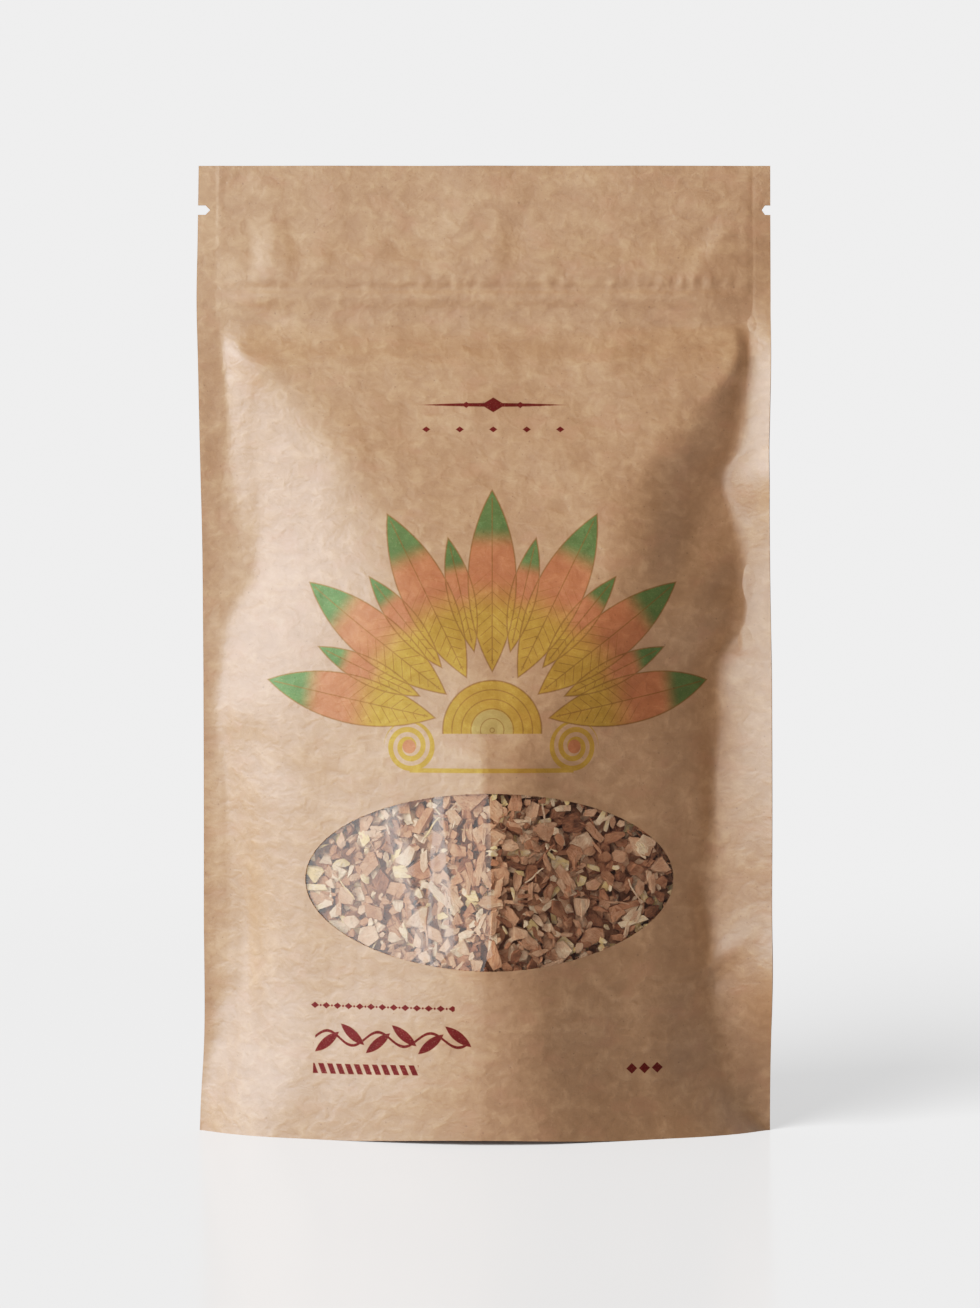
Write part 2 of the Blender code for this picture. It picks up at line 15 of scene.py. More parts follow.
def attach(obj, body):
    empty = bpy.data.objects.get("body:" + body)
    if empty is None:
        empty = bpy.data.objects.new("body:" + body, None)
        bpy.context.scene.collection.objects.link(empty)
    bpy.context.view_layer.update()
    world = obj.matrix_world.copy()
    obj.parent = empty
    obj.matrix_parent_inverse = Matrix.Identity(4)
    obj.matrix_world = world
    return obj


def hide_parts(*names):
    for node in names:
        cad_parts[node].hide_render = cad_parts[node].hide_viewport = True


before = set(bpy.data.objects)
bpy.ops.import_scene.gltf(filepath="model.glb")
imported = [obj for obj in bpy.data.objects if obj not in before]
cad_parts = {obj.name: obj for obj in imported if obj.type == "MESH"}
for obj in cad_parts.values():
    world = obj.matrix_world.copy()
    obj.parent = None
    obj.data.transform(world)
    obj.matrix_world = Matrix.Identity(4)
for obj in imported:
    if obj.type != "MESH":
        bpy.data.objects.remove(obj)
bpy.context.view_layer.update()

MM = 0.001

# Form of the pouch, the same as in its solids. Each curve is a list of (height, value) pairs.
# crown: how far the panel stands out at its middle. foot: where the bulge starts beside the seal.
# crest: where its side slope ends. round: 1 is a flat side facet, 2 is a rounded one. soft: how softly it
# rises from the side seals.
WIDTH = 160.0
HEIGHT = 270.0
# The two sides of the lower half's section, as (share of the way in from the foot, share of the crown)
LOW_LEFT = [(0, 0), (0.09, 0.21), (0.22, 0.41), (0.43, 0.60), (0.64, 0.78), (0.81, 0.905), (0.91, 0.96),
            (1, 1)]
LOW_RIGHT = [(0, 0), (0.09, 0.21), (0.22, 0.41), (0.43, 0.61), (0.64, 0.81), (0.81, 0.95), (0.91, 0.99),
             (1, 1)]
LOW_SECTION_TOP = (95, 160)
# How rounded the ridge is that the two sides form at the middle
RIDGE_ROUND = [(0, 5.0), (30, 5.0), (46, 0.8), (98, 0.8), (112, 4.0), (160, 6.0)]
CREST_SOFTNESS = 6.0
SHORTEST_SLOPE = 2.2
SEAL_GAP = 0.04
LEFT_WAVE = {"height": 1.3, "length": 27, "start": 0}
RIGHT_WAVE = {"height": 1.2, "length": 31, "start": 1.9}
WAVE_BAND = (25, 155, 215)
RIM_LIFT = 1.3
RIM_LIFT_REACH = 45
FRONT = {
    "crown": [(0, 33.1), (12, 33.1), (34, 33.3), (60, 32.3), (97, 29.3), (120, 26.0), (150, 20.3),
              (172, 15.3), (189, 10.9), (206, 6.6), (215, 4.3), (222, 2.0), (227, 1.25), (231, 1.75),
              (236, 1.85), (242, 1.8), (248, 0.9), (262, 0.55), (270, 0.25)],
    "left_foot": [(0, 79.3), (10, 77.8), (20, 72.8), (31, 70.6), (81, 70.5), (127, 73.2), (144, 71.2),
                  (155, 65.8), (164, 65.8), (178, 69.8), (218, 73.3), (224, 74.1), (270, 74.2)],
    "right_foot": [(0, 79.3), (5, 74.0), (14, 68.5), (30, 65.5), (44, 64.4), (64, 63.0), (114, 66.0),
                   (131, 66.2), (142, 72.3), (155, 73.0), (172, 70.0), (183.5, 66.4), (191, 71.6),
                   (197, 72.5), (207, 72.8), (220, 73.4), (225, 74.1), (270, 74.2)],
    "left_soft": [(0, 1.0), (6, 3.5), (14, 7.0), (34, 6.0), (50, 4.0), (100, 2.0), (150, 4.0), (168, 4.0),
                  (190, 1.5), (205, 1.0), (270, 1.0)],
    "right_soft": [(0, 1.0), (6, 3.5), (14, 8.0), (34, 8.0), (60, 8.0), (100, 7.5), (122, 5.0), (140, 1.2),
                   (270, 1.0)],
    "left_crest": [(0, 0.0), (60, 0.0), (97, 6.0), (135, 16.0), (172, 30.0), (189, 41.4), (206, 55.6),
                   (218, 68.5), (224, 66.0), (229, 62.5), (235, 60.0), (270, 62.0)],
    "right_crest": [(0, 0.0), (60, 4.0), (97, 13.0), (135, 26.0), (169, 38.2), (182, 43.9), (199, 58.1),
                    (220, 71.0), (227, 67.0), (234, 62.0), (270, 64.0)],
    "round": [(0, 2.0), (60, 2.05), (100, 1.9), (150, 1.5), (190, 1.22), (222, 1.1), (270, 1.3)],
}
BACK_SOFT = [(0, 1.0), (10, 4.0), (40, 4.0), (80, 1.5), (270, 1.0)]
BACK = {
    "crown": [(0, 31.2), (12, 31.2), (34, 31.2), (60, 30.4), (95, 28.0), (120, 25.0), (150, 19.5),
              (170, 15.0), (188, 10.6), (205, 6.4), (215, 3.9), (222, 1.9), (227, 1.3), (231, 1.7),
              (236, 1.75), (242, 1.65), (248, 0.9), (262, 0.5), (270, 0.25)],
    "left_foot": [(0, 79.3), (14, 74.0), (40, 67.5), (70, 69.5), (95, 64.5), (125, 70.0), (150, 72.5),
                  (175, 68.0), (195, 71.5), (218, 73.0), (224, 74.1), (270, 74.2)],
    "right_foot": [(0, 79.3), (16, 75.0), (36, 71.5), (85, 71.0), (110, 66.5), (128, 70.5), (160, 72.5),
                   (180, 71.0), (218, 73.4), (225, 74.1), (270, 74.2)],
    "left_soft": BACK_SOFT,
    "right_soft": BACK_SOFT,
    "left_crest": [(0, 0.0), (60, 2.0), (97, 9.0), (135, 20.0), (172, 35.0), (189, 46.0), (206, 58.0),
                   (221, 70.5), (227, 66.0), (234, 60.0), (270, 62.0)],
    "right_crest": [(0, 0.0), (60, 0.0), (97, 8.0), (135, 18.0), (169, 33.0), (182, 41.0), (199, 55.0),
                    (220, 71.0), (227, 67.0), (234, 62.0), (270, 64.0)],
    "round": [(0, 2.0), (60, 2.0), (100, 1.85), (150, 1.5), (190, 1.25), (222, 1.1), (270, 1.3)],
}
LEFT_EDGE = [(0, 79.8), (8, 79.5), (22, 78.8), (60, 78.8), (100, 78.7), (142, 78.9), (165, 79.2), (187, 79.8),
             (215, 80.4), (232, 80.8), (250, 80.5), (270, 80.2)]
RIGHT_EDGE = [(0, 79.8), (30, 79.8), (60, 79.6), (98, 79.6), (154, 79.6), (176, 79.3), (187, 79.1),
              (199, 79.4), (220, 79.9), (270, 79.9)]
GUSSET_FOLD = [(0, 2.6), (14, 2.8), (27, 7.0), (38, 16.5), (48, 26.0), (55, 29.5), (60, 27.0), (65, 18.0),
               (69, 11.0), (73, 8.0)]

# How far the side seals curl forwards, as a slope by height
LEFT_CURL = [(0, 0.0), (25, 0.0), (60, 0.02), (110, 0.03), (150, 0.02), (185, 0.06), (215, 0.06), (232, 0.0),
             (270, 0.0)]
RIGHT_CURL = [(0, 0.0), (20, 0.20), (45, 0.70), (62, 0.56), (84, 0.62), (108, 0.66), (130, 0.56), (155, 0.50),
              (172, 0.56), (187, 0.72), (200, 0.64), (218, 0.45), (230, 0.03), (270, 0.0)]
CURL_START = 2.2
# Where the right curl starts: the foot, less its kink
RIGHT_CURL_FOOT = [(0, 79.3), (5, 74.0), (14, 68.5), (30, 65.5), (44, 64.4), (64, 63.0), (114, 66.0),
                   (131, 66.2), (142, 70.0), (155, 72.0), (172, 70.6), (183, 68.6), (194, 71.5), (206, 72.0),
                   (225, 74.1), (270, 74.2)]

# Sheets
PAPER = 0.24
FILM = 0.1
FILM_BEHIND = 0.05
SIDE_COLUMNS = 66
STRIP_COLUMNS = 13
ROW_BANDS = [(0, 1.2), (222, 0.62), (246, 1.2), (HEIGHT, 1.2)]
BACK_SIDE_COLUMNS = 48
BACK_STRIP_COLUMNS = 9
BACK_ROW_BANDS = [(0, 1.7), (222, 0.9), (246, 1.7), (HEIGHT, 1.7)]
RIM_BAND = 0.3
# How many millimetres of a sheet its own flat coordinates span, across and up
SHEET_SPAN = (200, 300)
SHARP_ANGLE = math.radians(50)

WINDOW_CENTRE = (1.3, 71.2)
WINDOW_HALF = (50.9, 24.1)
WINDOW_SIDES = 128
FILM_OVERLAP = 4.5
NOTCH_HEIGHT = 257.6
NOTCH_DEPTH = (3.4, 2.4)
NOTCH_HALF_OPENING = 1.3
NOTCH_STRAIGHT = 0.62

# Relief of the front sheet
# The lines along the side seals in the header: (x, half width, how far out)
SEAL_LINES = [(-74.3, 0.55, 0.16), (73.7, 0.7, 0.08), (74.8, 0.5, -0.08)]
SEAL_LINES_FOOT = (224, 230)
ZIP_LINE = 235.4
# The zip's lines in the paper: (height, half width, how far out, which wear)
ZIP_LINES = [(238.3, 1.7, 0.28, 0), (ZIP_LINE, 0.9, -0.40, 1), (233.0, 1.6, 0.20, 0), (230.0, 1.5, -0.26, 1)]
ZIP_REACH = 74.0
ZIP_END = 10.0
ZIP_DEEPEST = 0.22
ZIP_MIDDLE = (236.8, 2.0)
ZIP_SHARE_BEHIND = 0.8
# What is left of the zip's thickness towards its ends
ZIP_CRUSH = [(0, 1), (50, 1), (54, 0.9), (58, 0.72), (62, 0.5), (66, 0.3), (70, 0.14), (72, 0.1)]
CRIMPS = [(-70, 0.2), (-58, 0.1), (-34, 0.12), (-19, 0.2), (-14, 0.25), (-9, 0.25), (-2, 0.2), (5, 0.15),
          (15, 0.3), (20, 0.35), (33, 0.2), (41, 0.2), (47, 0.3), (53, 0.45), (57, 0.35), (61, 0.5),
          (66, 0.4), (70, 0.6)]

# Soft dents and folds: (x, z, half width, half height, turn in degrees, how far in)
FRONT_DENTS = [
    (-66, 247, 2.5, 8, 8, 0.30), (-60, 246, 2.2, 9, -6, -0.28), (-54, 249, 2.5, 8, 5, 0.22),
    (-46, 246, 4, 7, 12, -0.20), (-20, 252, 9, 4, 20, 0.22), (2, 247, 3, 7, -15, -0.25),
    (9, 250, 4, 8, -18, 0.22), (40, 252, 10, 4, -18, -0.22), (60, 248, 3, 9, -30, 0.25),
    (66, 250, 3, 9, -32, -0.35), (-61, 227, 7, 5, 10, 0.5), (60, 225, 16, 2.4, 3, 0.45),
    (-64, 108, 10, 8, -20, 0.75), (-52, 99, 14, 6, -25, 0.6), (-67, 148, 6, 4, 30, 0.6),
    (-55, 178, 6, 16, 38, 0.35), (-30, 165, 11, 14, 30, 0.5), (-36, 190, 9, 14, 48, -0.35),
    (-66, 60, 2.4, 22, 0, 0.45), (-62, 34, 3, 16, -6, -0.35), (-70, 18, 7, 5, 20, -0.7),
    (68, 152, 6, 4, 25, 1.3), (69, 137, 5, 3.2, 10, 1.1), (62, 125, 6, 12, -15, 0.7),
    (56, 176, 5, 16, -38, 0.55), (47, 163, 7, 13, -35, -0.4), (67, 187, 6, 3, 28, 0.5),
    (58.5, 168, 7, 14, -25, 3.6), (63, 100, 3, 16, 4, 0.8), (59, 88, 2.5, 12, 0, -0.5),
    (62, 62, 3.4, 10, 14, 0.8), (66, 49, 8, 3, 40, -1.0), (61, 40, 7, 3, 40, 0.9), (58, 20, 8, 11, -20, 0.6),
    (70, 13, 5, 6, 0, -0.6), (20, 205, 12, 16, 10, 0.3), (-8, 200, 12, 14, 0, -0.22),
    (38, 214, 10, 10, 15, -0.25), (-44, 132, 9, 13, 15, -0.4), (8, 112, 14, 9, 0, -0.25),
    (30, 30, 14, 9, 15, 0.35), (-22, 12, 20, 6, 5, -0.3), (6, 22, 9, 10, 0, -0.25),
    (44, 108, 9, 12, -12, -0.3),
]
# Sharper folds: the two ends of the crest, the widths of its left and right flanks, and how far out
FRONT_FOLDS = [
    ((0, 107), (0, 48), 14.0, 26.0, 1.3), ((-73, 236), (-57, 235.4), 0.9, 0.9, -0.10),
    ((-68.5, 208), (-68.5, 188), 6.0, 4.0, 0.2), ((-67, 184), (-67, 150), 10.0, 4.0, 0.4),
    ((-70, 122), (-70, 40), 8.0, 4.0, 0.8), ((-56, 251), (-56, 240), 4.0, 4.0, 0.35),
    ((4.5, 250), (4, 242), 4.0, 4.0, 0.3), ((-68, 36), (-68, 18), 8.0, 4.0, 0.8),
]
FOLD_FADE = 5.0
BACK_DENTS = [
    (-62, 150, 9, 6, 25, 0.9), (66, 142, 8, 5, -30, 0.9), (-58, 96, 7, 9, 0, 1.0), (60, 108, 6, 8, 10, 0.8),
    (-30, 176, 10, 15, -35, 0.5), (36, 170, 10, 15, 38, 0.5), (0, 205, 20, 8, 0, 0.3),
    (-40, 60, 16, 12, 20, 0.4), (34, 52, 15, 14, -15, 0.45), (4, 110, 14, 18, 10, -0.4),
    (-64, 40, 5, 12, -10, 0.8), (66, 34, 6, 9, 15, 0.7), (-20, 248, 9, 5, 15, 0.25),
    (38, 250, 8, 6, -20, 0.25), (-56, 244, 4, 8, 5, -0.25), (10, 20, 24, 8, 0, -0.3),
]
# Seeded lumps of the paper: (size across, height)
FRONT_LUMPS = [(23, 0.30), (12, 0.20), (6.5, 0.11), (3.2, 0.045)]
BACK_LUMPS = [(24, 0.32), (12, 0.20), (6, 0.09)]
LUMP_SEED = 11
ZIP_WEAR = [(16, 0.55)]
ZIP_WEAR_PLACES = (40, 140)
# The sheet is taut round its window, and nearly so along its zip
CALM_MARGIN = 8.0
ZIP_CALM = 0.8
ZIP_CALM_REACH = 7.0
# What is left of dents and lumps at the edge, and how far in they fade
RELIEF_AT_EDGE = 0.15
RELIEF_EDGE = 79.5
RELIEF_FADE = 6.0
RELIEF_FOOT_FADE = 12.0

# Root
ROOT_SEED = 23
FILL_END = 62.0
FILL_TOP = 152.0
FILL_SHORT_OF_FOOT = 7.0
FILL_CORE_DEPTH = 4.4
FILL_THINNEST = 2.0
FILL_ABOVE_GUSSET = 2.8
FILL_PINCH = 0.3
FILL_LEAN = 0.15
FILL_HEAP = 9.0
FILL_RIPPLE = 1.2
GUSSET_SEAL = 6.0
GUSSET_CORNER = 55.0
GUSSET_END = 73.0
GUSSET_SEAL_SHARE = 0.72
GUSSET_FOOT = 0.6
GUSSET_CLEARANCE = 0.45
GUSSET_CREASE = (0.5, 0.05)
GUSSET_LUMPS = [(14, 0.35), (6, 0.12)]
CORE_CUTS = 54
CORE_LUMPS = [(9, 0.9), (4.5, 0.7), (2.4, 0.35)]
MASS_STEP = 7
PIECE_CLEARANCE = 0.8
SHOW = 0.2
# The least and most of each kind of tone, and its share of the pieces
TONE_KINDS = [
    ((0.12, 0.28), 0.11), ((0.3, 0.48), 0.28), ((0.48, 0.66), 0.31), ((0.68, 0.86), 0.20), ((0.93, 1.0), 0.10),
]
# How much paler the pieces are made towards the lit left and darker towards the right: painted light.
PAINTED_LIGHT_TO_LEFT = 0.07
MASS_SIZES = (5, 8)
MASS_LEFT_OUT = 0.45
CORE_SHARP_ANGLE = math.radians(70)

# Colours, linear
KRAFT_DARK = (0.300, 0.144, 0.058, 1)
KRAFT_BROWN = (0.397, 0.206, 0.093, 1)
KRAFT_ROSE = (0.368, 0.165, 0.075, 1)
KRAFT_PALE = (0.500, 0.290, 0.147, 1)
KRAFT_SPECK = (0.140, 0.068, 0.026, 1)
WHITE = (1, 1, 1, 1)
# Inks, as the share of the light that each lets through
INK_OCHRE = (0.90, 0.86, 0.28, 1)
INK_CORAL = (0.95, 0.58, 0.46, 1)
INK_GREEN = (0.22, 0.58, 0.34, 1)
INK_PALE = (0.86, 0.98, 0.55, 1)
INK_LINE = (0.42, 0.34, 0.18, 1)
INK_BURGUNDY = (0.24, 0.045, 0.07, 1)
ROOT_TONES = [
    (0.00, (0.110, 0.038, 0.018, 1)), (0.16, (0.270, 0.100, 0.046, 1)), (0.34, (0.440, 0.186, 0.090, 1)),
    (0.52, (0.560, 0.286, 0.156, 1)), (0.70, (0.670, 0.410, 0.248, 1)), (0.86, (0.800, 0.590, 0.380, 1)),
    (1.00, (0.790, 0.535, 0.220, 1)),
]
# The mass behind the pieces is coloured darker than they are: painted shade in the gaps between them.
MASS_PAINTED_SHADE_TONES = [
    (0.30, (0.130, 0.048, 0.022, 1)), (0.50, (0.300, 0.120, 0.058, 1)), (0.72, (0.450, 0.210, 0.110, 1)),
]
PORE = (0.13, 0.055, 0.03, 1)
PLASTIC = (0.62, 0.62, 0.59, 1)
PLASTIC_HAZE = (0.78, 0.78, 0.75, 1)

# View and light
CAMERA_PLACE = (0.0014, -1.046, 0.1333)
CAMERA_LENS = 102.8
SENSOR = 36
BACKDROP = 1.335
# How bright each level of light comes out in the picture: the bright ones are held back, as in a photograph
TONES = [(0, 0), (0.22, 0.224), (0.32, 0.32), (0.45, 0.432), (0.62, 0.547), (0.85, 0.669), (1.3, 0.851),
         (2.0, 1.0)]
SKY_FRONT = 0.08
SKY_REAR = 0.80
SKY_EDGE = (-0.3, 0.35)
# Soft boxes: each has a radiance, the places of its right and left edges, and its heights. It then leans over
# sideways as far as it is turned from facing straight back.
# The side and front ones light all but the floor and the film. The far one lights the floor alone and throws
# the shadow. The sheen and the gleam lie on the film alone.
LAMPS = {
    "side": {"radiance": 11.5, "right": (-1.007, -0.972), "left": (-1.399, -0.049), "heights": (0.0, 1.15)},
    "front": {"radiance": 2.2, "right": (0.0, -1.4), "left": (-0.862, -1.103), "heights": (0.0, 1.15)},
    "far": {"radiance": 370, "right": (-1.09, -1.68), "left": (-1.18, -1.61), "heights": (0.3, 2.6)},
    "sheen": {"radiance": 2.4, "right": (-1.088, -0.881), "left": (-1.399, -0.049), "heights": (-0.5, 1.15)},
    "gleam": {"radiance": 1.3, "right": (0.0, -1.4), "left": (-0.973, -1.007), "heights": (-0.5, 1.15)},
}
LEFT_OUT = {"side": ("floor", "film"), "front": ("floor", "film")}
ALONE = {"far": "floor", "sheen": "film", "gleam": "film"}
FLOOR_REACH = 4.0
FLOOR_CELLS = 160
FLOOR_ALBEDO = 0.35
FLOOR_GLOSS = 0.28
FLOOR_GLOSS_ROUGHNESS = 0.16
FLOOR_EVEN = (0.45, 1.3)
# How near the pouch the floor's own glow fades, which paints contact shade on the floor, and between which
# shares of open sky
CONTACT_REACH = 0.04
CONTACT_SHADE = (0.05, 0.45)


def through(points, at):
    """Reads a smooth curve through (place, value) pairs at the places `at`."""
    places, values = np.array(points, float).T
    slopes = np.gradient(values, places)
    at = np.clip(at, places[0], places[-1])
    i = np.clip(np.searchsorted(places, at) - 1, 0, len(places) - 2)
    span = places[i + 1] - places[i]
    t = (at - places[i]) / span
    start = (1 + 2 * t) * (1 - t) ** 2 * values[i] + t * (1 - t) ** 2 * span * slopes[i]
    end = t * t * (3 - 2 * t) * values[i + 1] - t * t * (1 - t) * span * slopes[i + 1]
    return start + end


def by_side(x, left, right):
    """Takes the left value where x is below zero, and else the right one."""
    return np.where(np.asarray(x) < 0, left, right)


def eased(share):
    """Rises from 0 to 1 with a soft start and end."""
    return share * share * (3 - 2 * share)


def softly_inside(distance, soft):
    """The distance where it is above zero and 0 below, with a soft bend between."""
    return 0.5 * (distance + np.sqrt(distance**2 + soft**2))


def bulge(shape, x, z):
    """How far a panel's inner face stands out from the seals' plane."""
    foot = by_side(x, through(shape["left_foot"], z), through(shape["right_foot"], z))
    crest = by_side(x, through(shape["left_crest"], z), through(shape["right_crest"], z))
    soft = by_side(x, through(shape["left_soft"], z), through(shape["right_soft"], z))
    inside = softly_inside(foot - np.abs(x), soft)
    inside = np.maximum(inside - softly_inside(foot - WIDTH / 2, soft), 0)
    slope_length = np.maximum(foot - crest, SHORTEST_SLOPE)
    rise = np.clip(inside / slope_length, 0, 2)
    soft = np.minimum(CREST_SOFTNESS / slope_length, 0.3)
    rise = np.clip(0.5 * (rise + 1 - np.sqrt((rise - 1) ** 2 + soft**2)), 0, 1)
    section = 1 - (1 - rise) ** through(shape["round"], z)
    low, high = LOW_SECTION_TOP
    share = eased(np.clip((high - z) / (high - low), 0, 1))
    rise = np.clip(inside / foot, 0, 1)
    ridge = through(RIDGE_ROUND, z) / foot
    rise = 1 - (np.hypot(1 - rise, ridge) - ridge) / (np.hypot(1, ridge) - ridge)
    section = section * (1 - share) + by_side(x, through(LOW_LEFT, rise), through(LOW_RIGHT, rise)) * share
    return through(shape["crown"], z) * section


def seal_wave(x, z):
    """How far the plane of the side seals waves back and forth. The rims and the header stay flat."""
    low, high, flat = WAVE_BAND
    strength = np.clip((flat - z) / (flat - high), 0, 1) * np.clip(z / low, 0, 1)
    left, right = (
        wave["height"] * np.sin(z / wave["length"] + wave["start"]) for wave in (LEFT_WAVE, RIGHT_WAVE)
    )
    share = np.asarray(x) / WIDTH + 0.5
    return strength * (left * (1 - share) + right * share)


def seal_curl(x, z):
    """How far forwards the side seals curl, outside the foot of the front panel's bulge."""
    foot = by_side(x, through(FRONT["left_foot"], z), through(RIGHT_CURL_FOOT, z))
    slope = by_side(x, through(LEFT_CURL, z), through(RIGHT_CURL, z))
    past = np.maximum(np.abs(x) - foot + CURL_START, 0)
    return slope * past**2 / (past + CURL_START)


def front_face(x, z):
    """Y of the front panel's inner face."""
    return seal_wave(x, z) - seal_curl(x, z) - SEAL_GAP / 2 - bulge(FRONT, x, z)


def back_face(x, z):
    """Y of the back panel's inner face."""
    return seal_wave(x, z) - seal_curl(x, z) + SEAL_GAP / 2 + bulge(BACK, x, z)


def hump(distance, width):
    """A soft ridge: 1 on its line, and nearly 0 one and a half widths away."""
    return np.exp(-((distance / width) ** 2))


def dents(places, x, z):
    """The depth of all the dents at a place."""
    depth = np.zeros(np.broadcast(x, z).shape)
    for at_x, at_z, half_width, half_height, turn, deep in places:
        c, s = math.cos(math.radians(turn)), math.sin(math.radians(turn))
        along, up = (x - at_x) * c + (z - at_z) * s, (z - at_z) * c - (x - at_x) * s
        depth += deep * np.exp(-((along / half_width) ** 2) - (up / half_height) ** 2)
    return depth


def folds(places, x, z):
    """The height of all the folds at a place."""
    height = np.zeros(np.broadcast(x, z).shape)
    for (x0, z0), (x1, z1), left, right, high in places:
        length = math.hypot(x1 - x0, z1 - z0)
        a, b = (x1 - x0) / length, (z1 - z0) / length
        along = (x - x0) * a + (z - z0) * b
        across = (z - z0) * a - (x - x0) * b
        flank = np.where(across < 0, left, right)
        crest = np.maximum(1 - (np.sqrt(across**2 + 0.5) - 0.7) / flank, 0)
        ends = np.clip((length / 2 + FOLD_FADE - np.abs(along - length / 2)) / (2 * FOLD_FADE), 0, 1)
        height += high * crest * eased(ends)
    return height


def lumps(bands, x, z, seed):
    """Soft seeded lumps, a sum of bands of smooth noise."""
    total = np.zeros(np.broadcast(x, z).shape)
    draw = np.random.default_rng(seed)
    for size, height in bands:
        grid = draw.uniform(-1, 1, (int(2 * WIDTH / size) + 4, int(1.3 * HEIGHT / size) + 4))
        i, j = (x + WIDTH) / size, (z + 0.1 * HEIGHT) / size
        a, b = np.floor(i).astype(int), np.floor(j).astype(int)
        u, v = eased(i - a), eased(j - b)
        low = grid[a, b] * (1 - u) + grid[a + 1, b] * u
        high = grid[a, b + 1] * (1 - u) + grid[a + 1, b + 1] * u
        total += height * (low * (1 - v) + high * v)
    return total


def zip_relief(x, z):
    """The zip's rib shows through the paper as two lines, crimped here and there."""
    reach = np.clip((ZIP_REACH - np.abs(x)) / ZIP_END, 0, 1)
    wear = [0.6 + lumps(ZIP_WEAR, x, 0 * z + place, LUMP_SEED + 5) for place in ZIP_WEAR_PLACES]
    relief = sum(out * wear[which] * hump(z - height, wide) for height, wide, out, which in ZIP_LINES)
    for at, deep in CRIMPS:
        lean = at + 0.5 * math.sin(at) + 0.18 * (z - ZIP_LINE) * math.sin(2.3 * at)
        crimp = 0.7 * hump(x - lean - 1.5, 0.8) - hump(x - lean, 0.75)
        relief = relief + deep * crimp * hump(z - ZIP_MIDDLE[0], ZIP_MIDDLE[1])
    return np.maximum(relief, -ZIP_DEEPEST) * reach


def seal_relief(x, z):
    """The inner line of each side seal, from the top to below the zip."""
    low, high = SEAL_LINES_FOOT
    relief = sum(out * hump(x - at, wide) for at, wide, out in SEAL_LINES)
    return relief * np.clip((z - low) / (high - low), 0, 1)


def relief_share(x, z):
    """How much of the dents and lumps is left towards the sides and the foot."""
    side = np.clip((RELIEF_EDGE - np.abs(x)) / RELIEF_FADE, RELIEF_AT_EDGE, 1)
    return side * np.clip(z / RELIEF_FOOT_FADE, 0, 1)


def from_window(x, z, margin):
    """Below 1 inside the window's oval widened by a margin, and above 1 outside it."""
    a = (x - WINDOW_CENTRE[0]) / (WINDOW_HALF[0] + margin)
    b = (z - WINDOW_CENTRE[1]) / (WINDOW_HALF[1] + margin)
    return a * a + b * b


def front_relief(x, z):
    """How far the front sheet stands out from its plain form."""
    calm = np.clip(from_window(x, z, CALM_MARGIN) - 0.6, 0, 1)
    calm = calm * (1 - ZIP_CALM * hump(z - ZIP_LINE, ZIP_CALM_REACH))
    soft = lumps(FRONT_LUMPS, x, z, LUMP_SEED) * calm - dents(FRONT_DENTS, x, z) + folds(FRONT_FOLDS, x, z)
    return soft * relief_share(x, z) + zip_relief(x, z) + seal_relief(x, z)


def back_relief(x, z):
    """How far the back sheet stands out from its plain form."""
    calm = 1 - ZIP_CALM * hump(z - ZIP_LINE, ZIP_CALM_REACH)
    soft = lumps(BACK_LUMPS, x, z, LUMP_SEED + 1) * calm - dents(BACK_DENTS, x, z)
    return soft * relief_share(x, z) + ZIP_SHARE_BEHIND * zip_relief(-x, z)


def rim_height(x):
    """The front rim is lifted a little off the floor at its middle."""
    return RIM_LIFT * np.clip(1 - (x / RIM_LIFT_REACH) ** 2, 0, 1) ** 2


def mesh_points(mesh):
    """The vertices of a mesh as an array."""
    flat = np.empty(len(mesh.vertices) * 3)
    mesh.vertices.foreach_get("co", flat)
    return flat.reshape(-1, 3)


def move_points(mesh, points):
    """Moves the vertices of a mesh to places in millimetres."""
    mesh.vertices.foreach_set("co", (points * MM).ravel())
    mesh.update()


def in_scene(name, data):
    """A new object of that name and data in the scene."""
    obj = bpy.data.objects.new(name, data)
    bpy.context.scene.collection.objects.link(obj)
    return obj


def select_only(obj):
    """Makes an object the active one and the only one selected."""
    bpy.ops.object.select_all(action="DESELECT")
    obj.select_set(True)
    bpy.context.view_layer.objects.active = obj


def start_edit(obj):
    """Opens an object in edit mode with all of it selected."""
    select_only(obj)
    bpy.ops.object.mode_set(mode="EDIT")
    bpy.ops.mesh.select_all(action="SELECT")


def slit(places):
    """Adds edges across the edited mesh at places along X."""
    for place in places:
        bpy.ops.mesh.select_all(action="SELECT")
        bpy.ops.mesh.bisect(plane_co=(place, 0, 0), plane_no=(1, 0, 0))


def lay_uv(obj, across, up):
    """Lays the sheet's own flat coordinates on it."""
    layer = obj.data.uv_layers[0]
    layer.name = "sheet"
    corners = np.empty(len(obj.data.loops), int)
    obj.data.loops.foreach_get("vertex_index", corners)
    wide, high = SHEET_SPAN
    flat = np.stack([across[corners] / wide + 0.5, up[corners] / high], axis=1)
    layer.data.foreach_set("uv", flat.ravel())


def formed_sheet(name, columns, rows, place):
    """A grid whose vertices are moved to place(column, row)."""
    bpy.ops.mesh.primitive_grid_add(x_subdivisions=columns - 1, y_subdivisions=rows - 1, size=1)
    obj = bpy.context.object
    obj.name = obj.data.name = name
    a, b, _ = mesh_points(obj.data).T
    column, row = np.rint((a + 0.5) * (columns - 1)), np.rint((b + 0.5) * (rows - 1))
    x, y, z, across, up = place(column.astype(int), row.astype(int))
    move_points(obj.data, np.stack([x, y, z], axis=1))
    lay_uv(obj, across, up)
    return obj


def use_modifier(obj, kind, **settings):
    """Adds a modifier and applies it."""
    modifier = obj.modifiers.new(kind.title(), kind)
    for key, value in settings.items():
        setattr(modifier, key, value)
    bpy.context.view_layer.objects.active = obj
    bpy.ops.object.modifier_apply(modifier=modifier.name)


def thicken(obj, thickness, offset):
    """Turns an open sheet into a solid one."""
    use_modifier(obj, "SOLIDIFY", thickness=thickness * MM, offset=offset, use_even_offset=True)


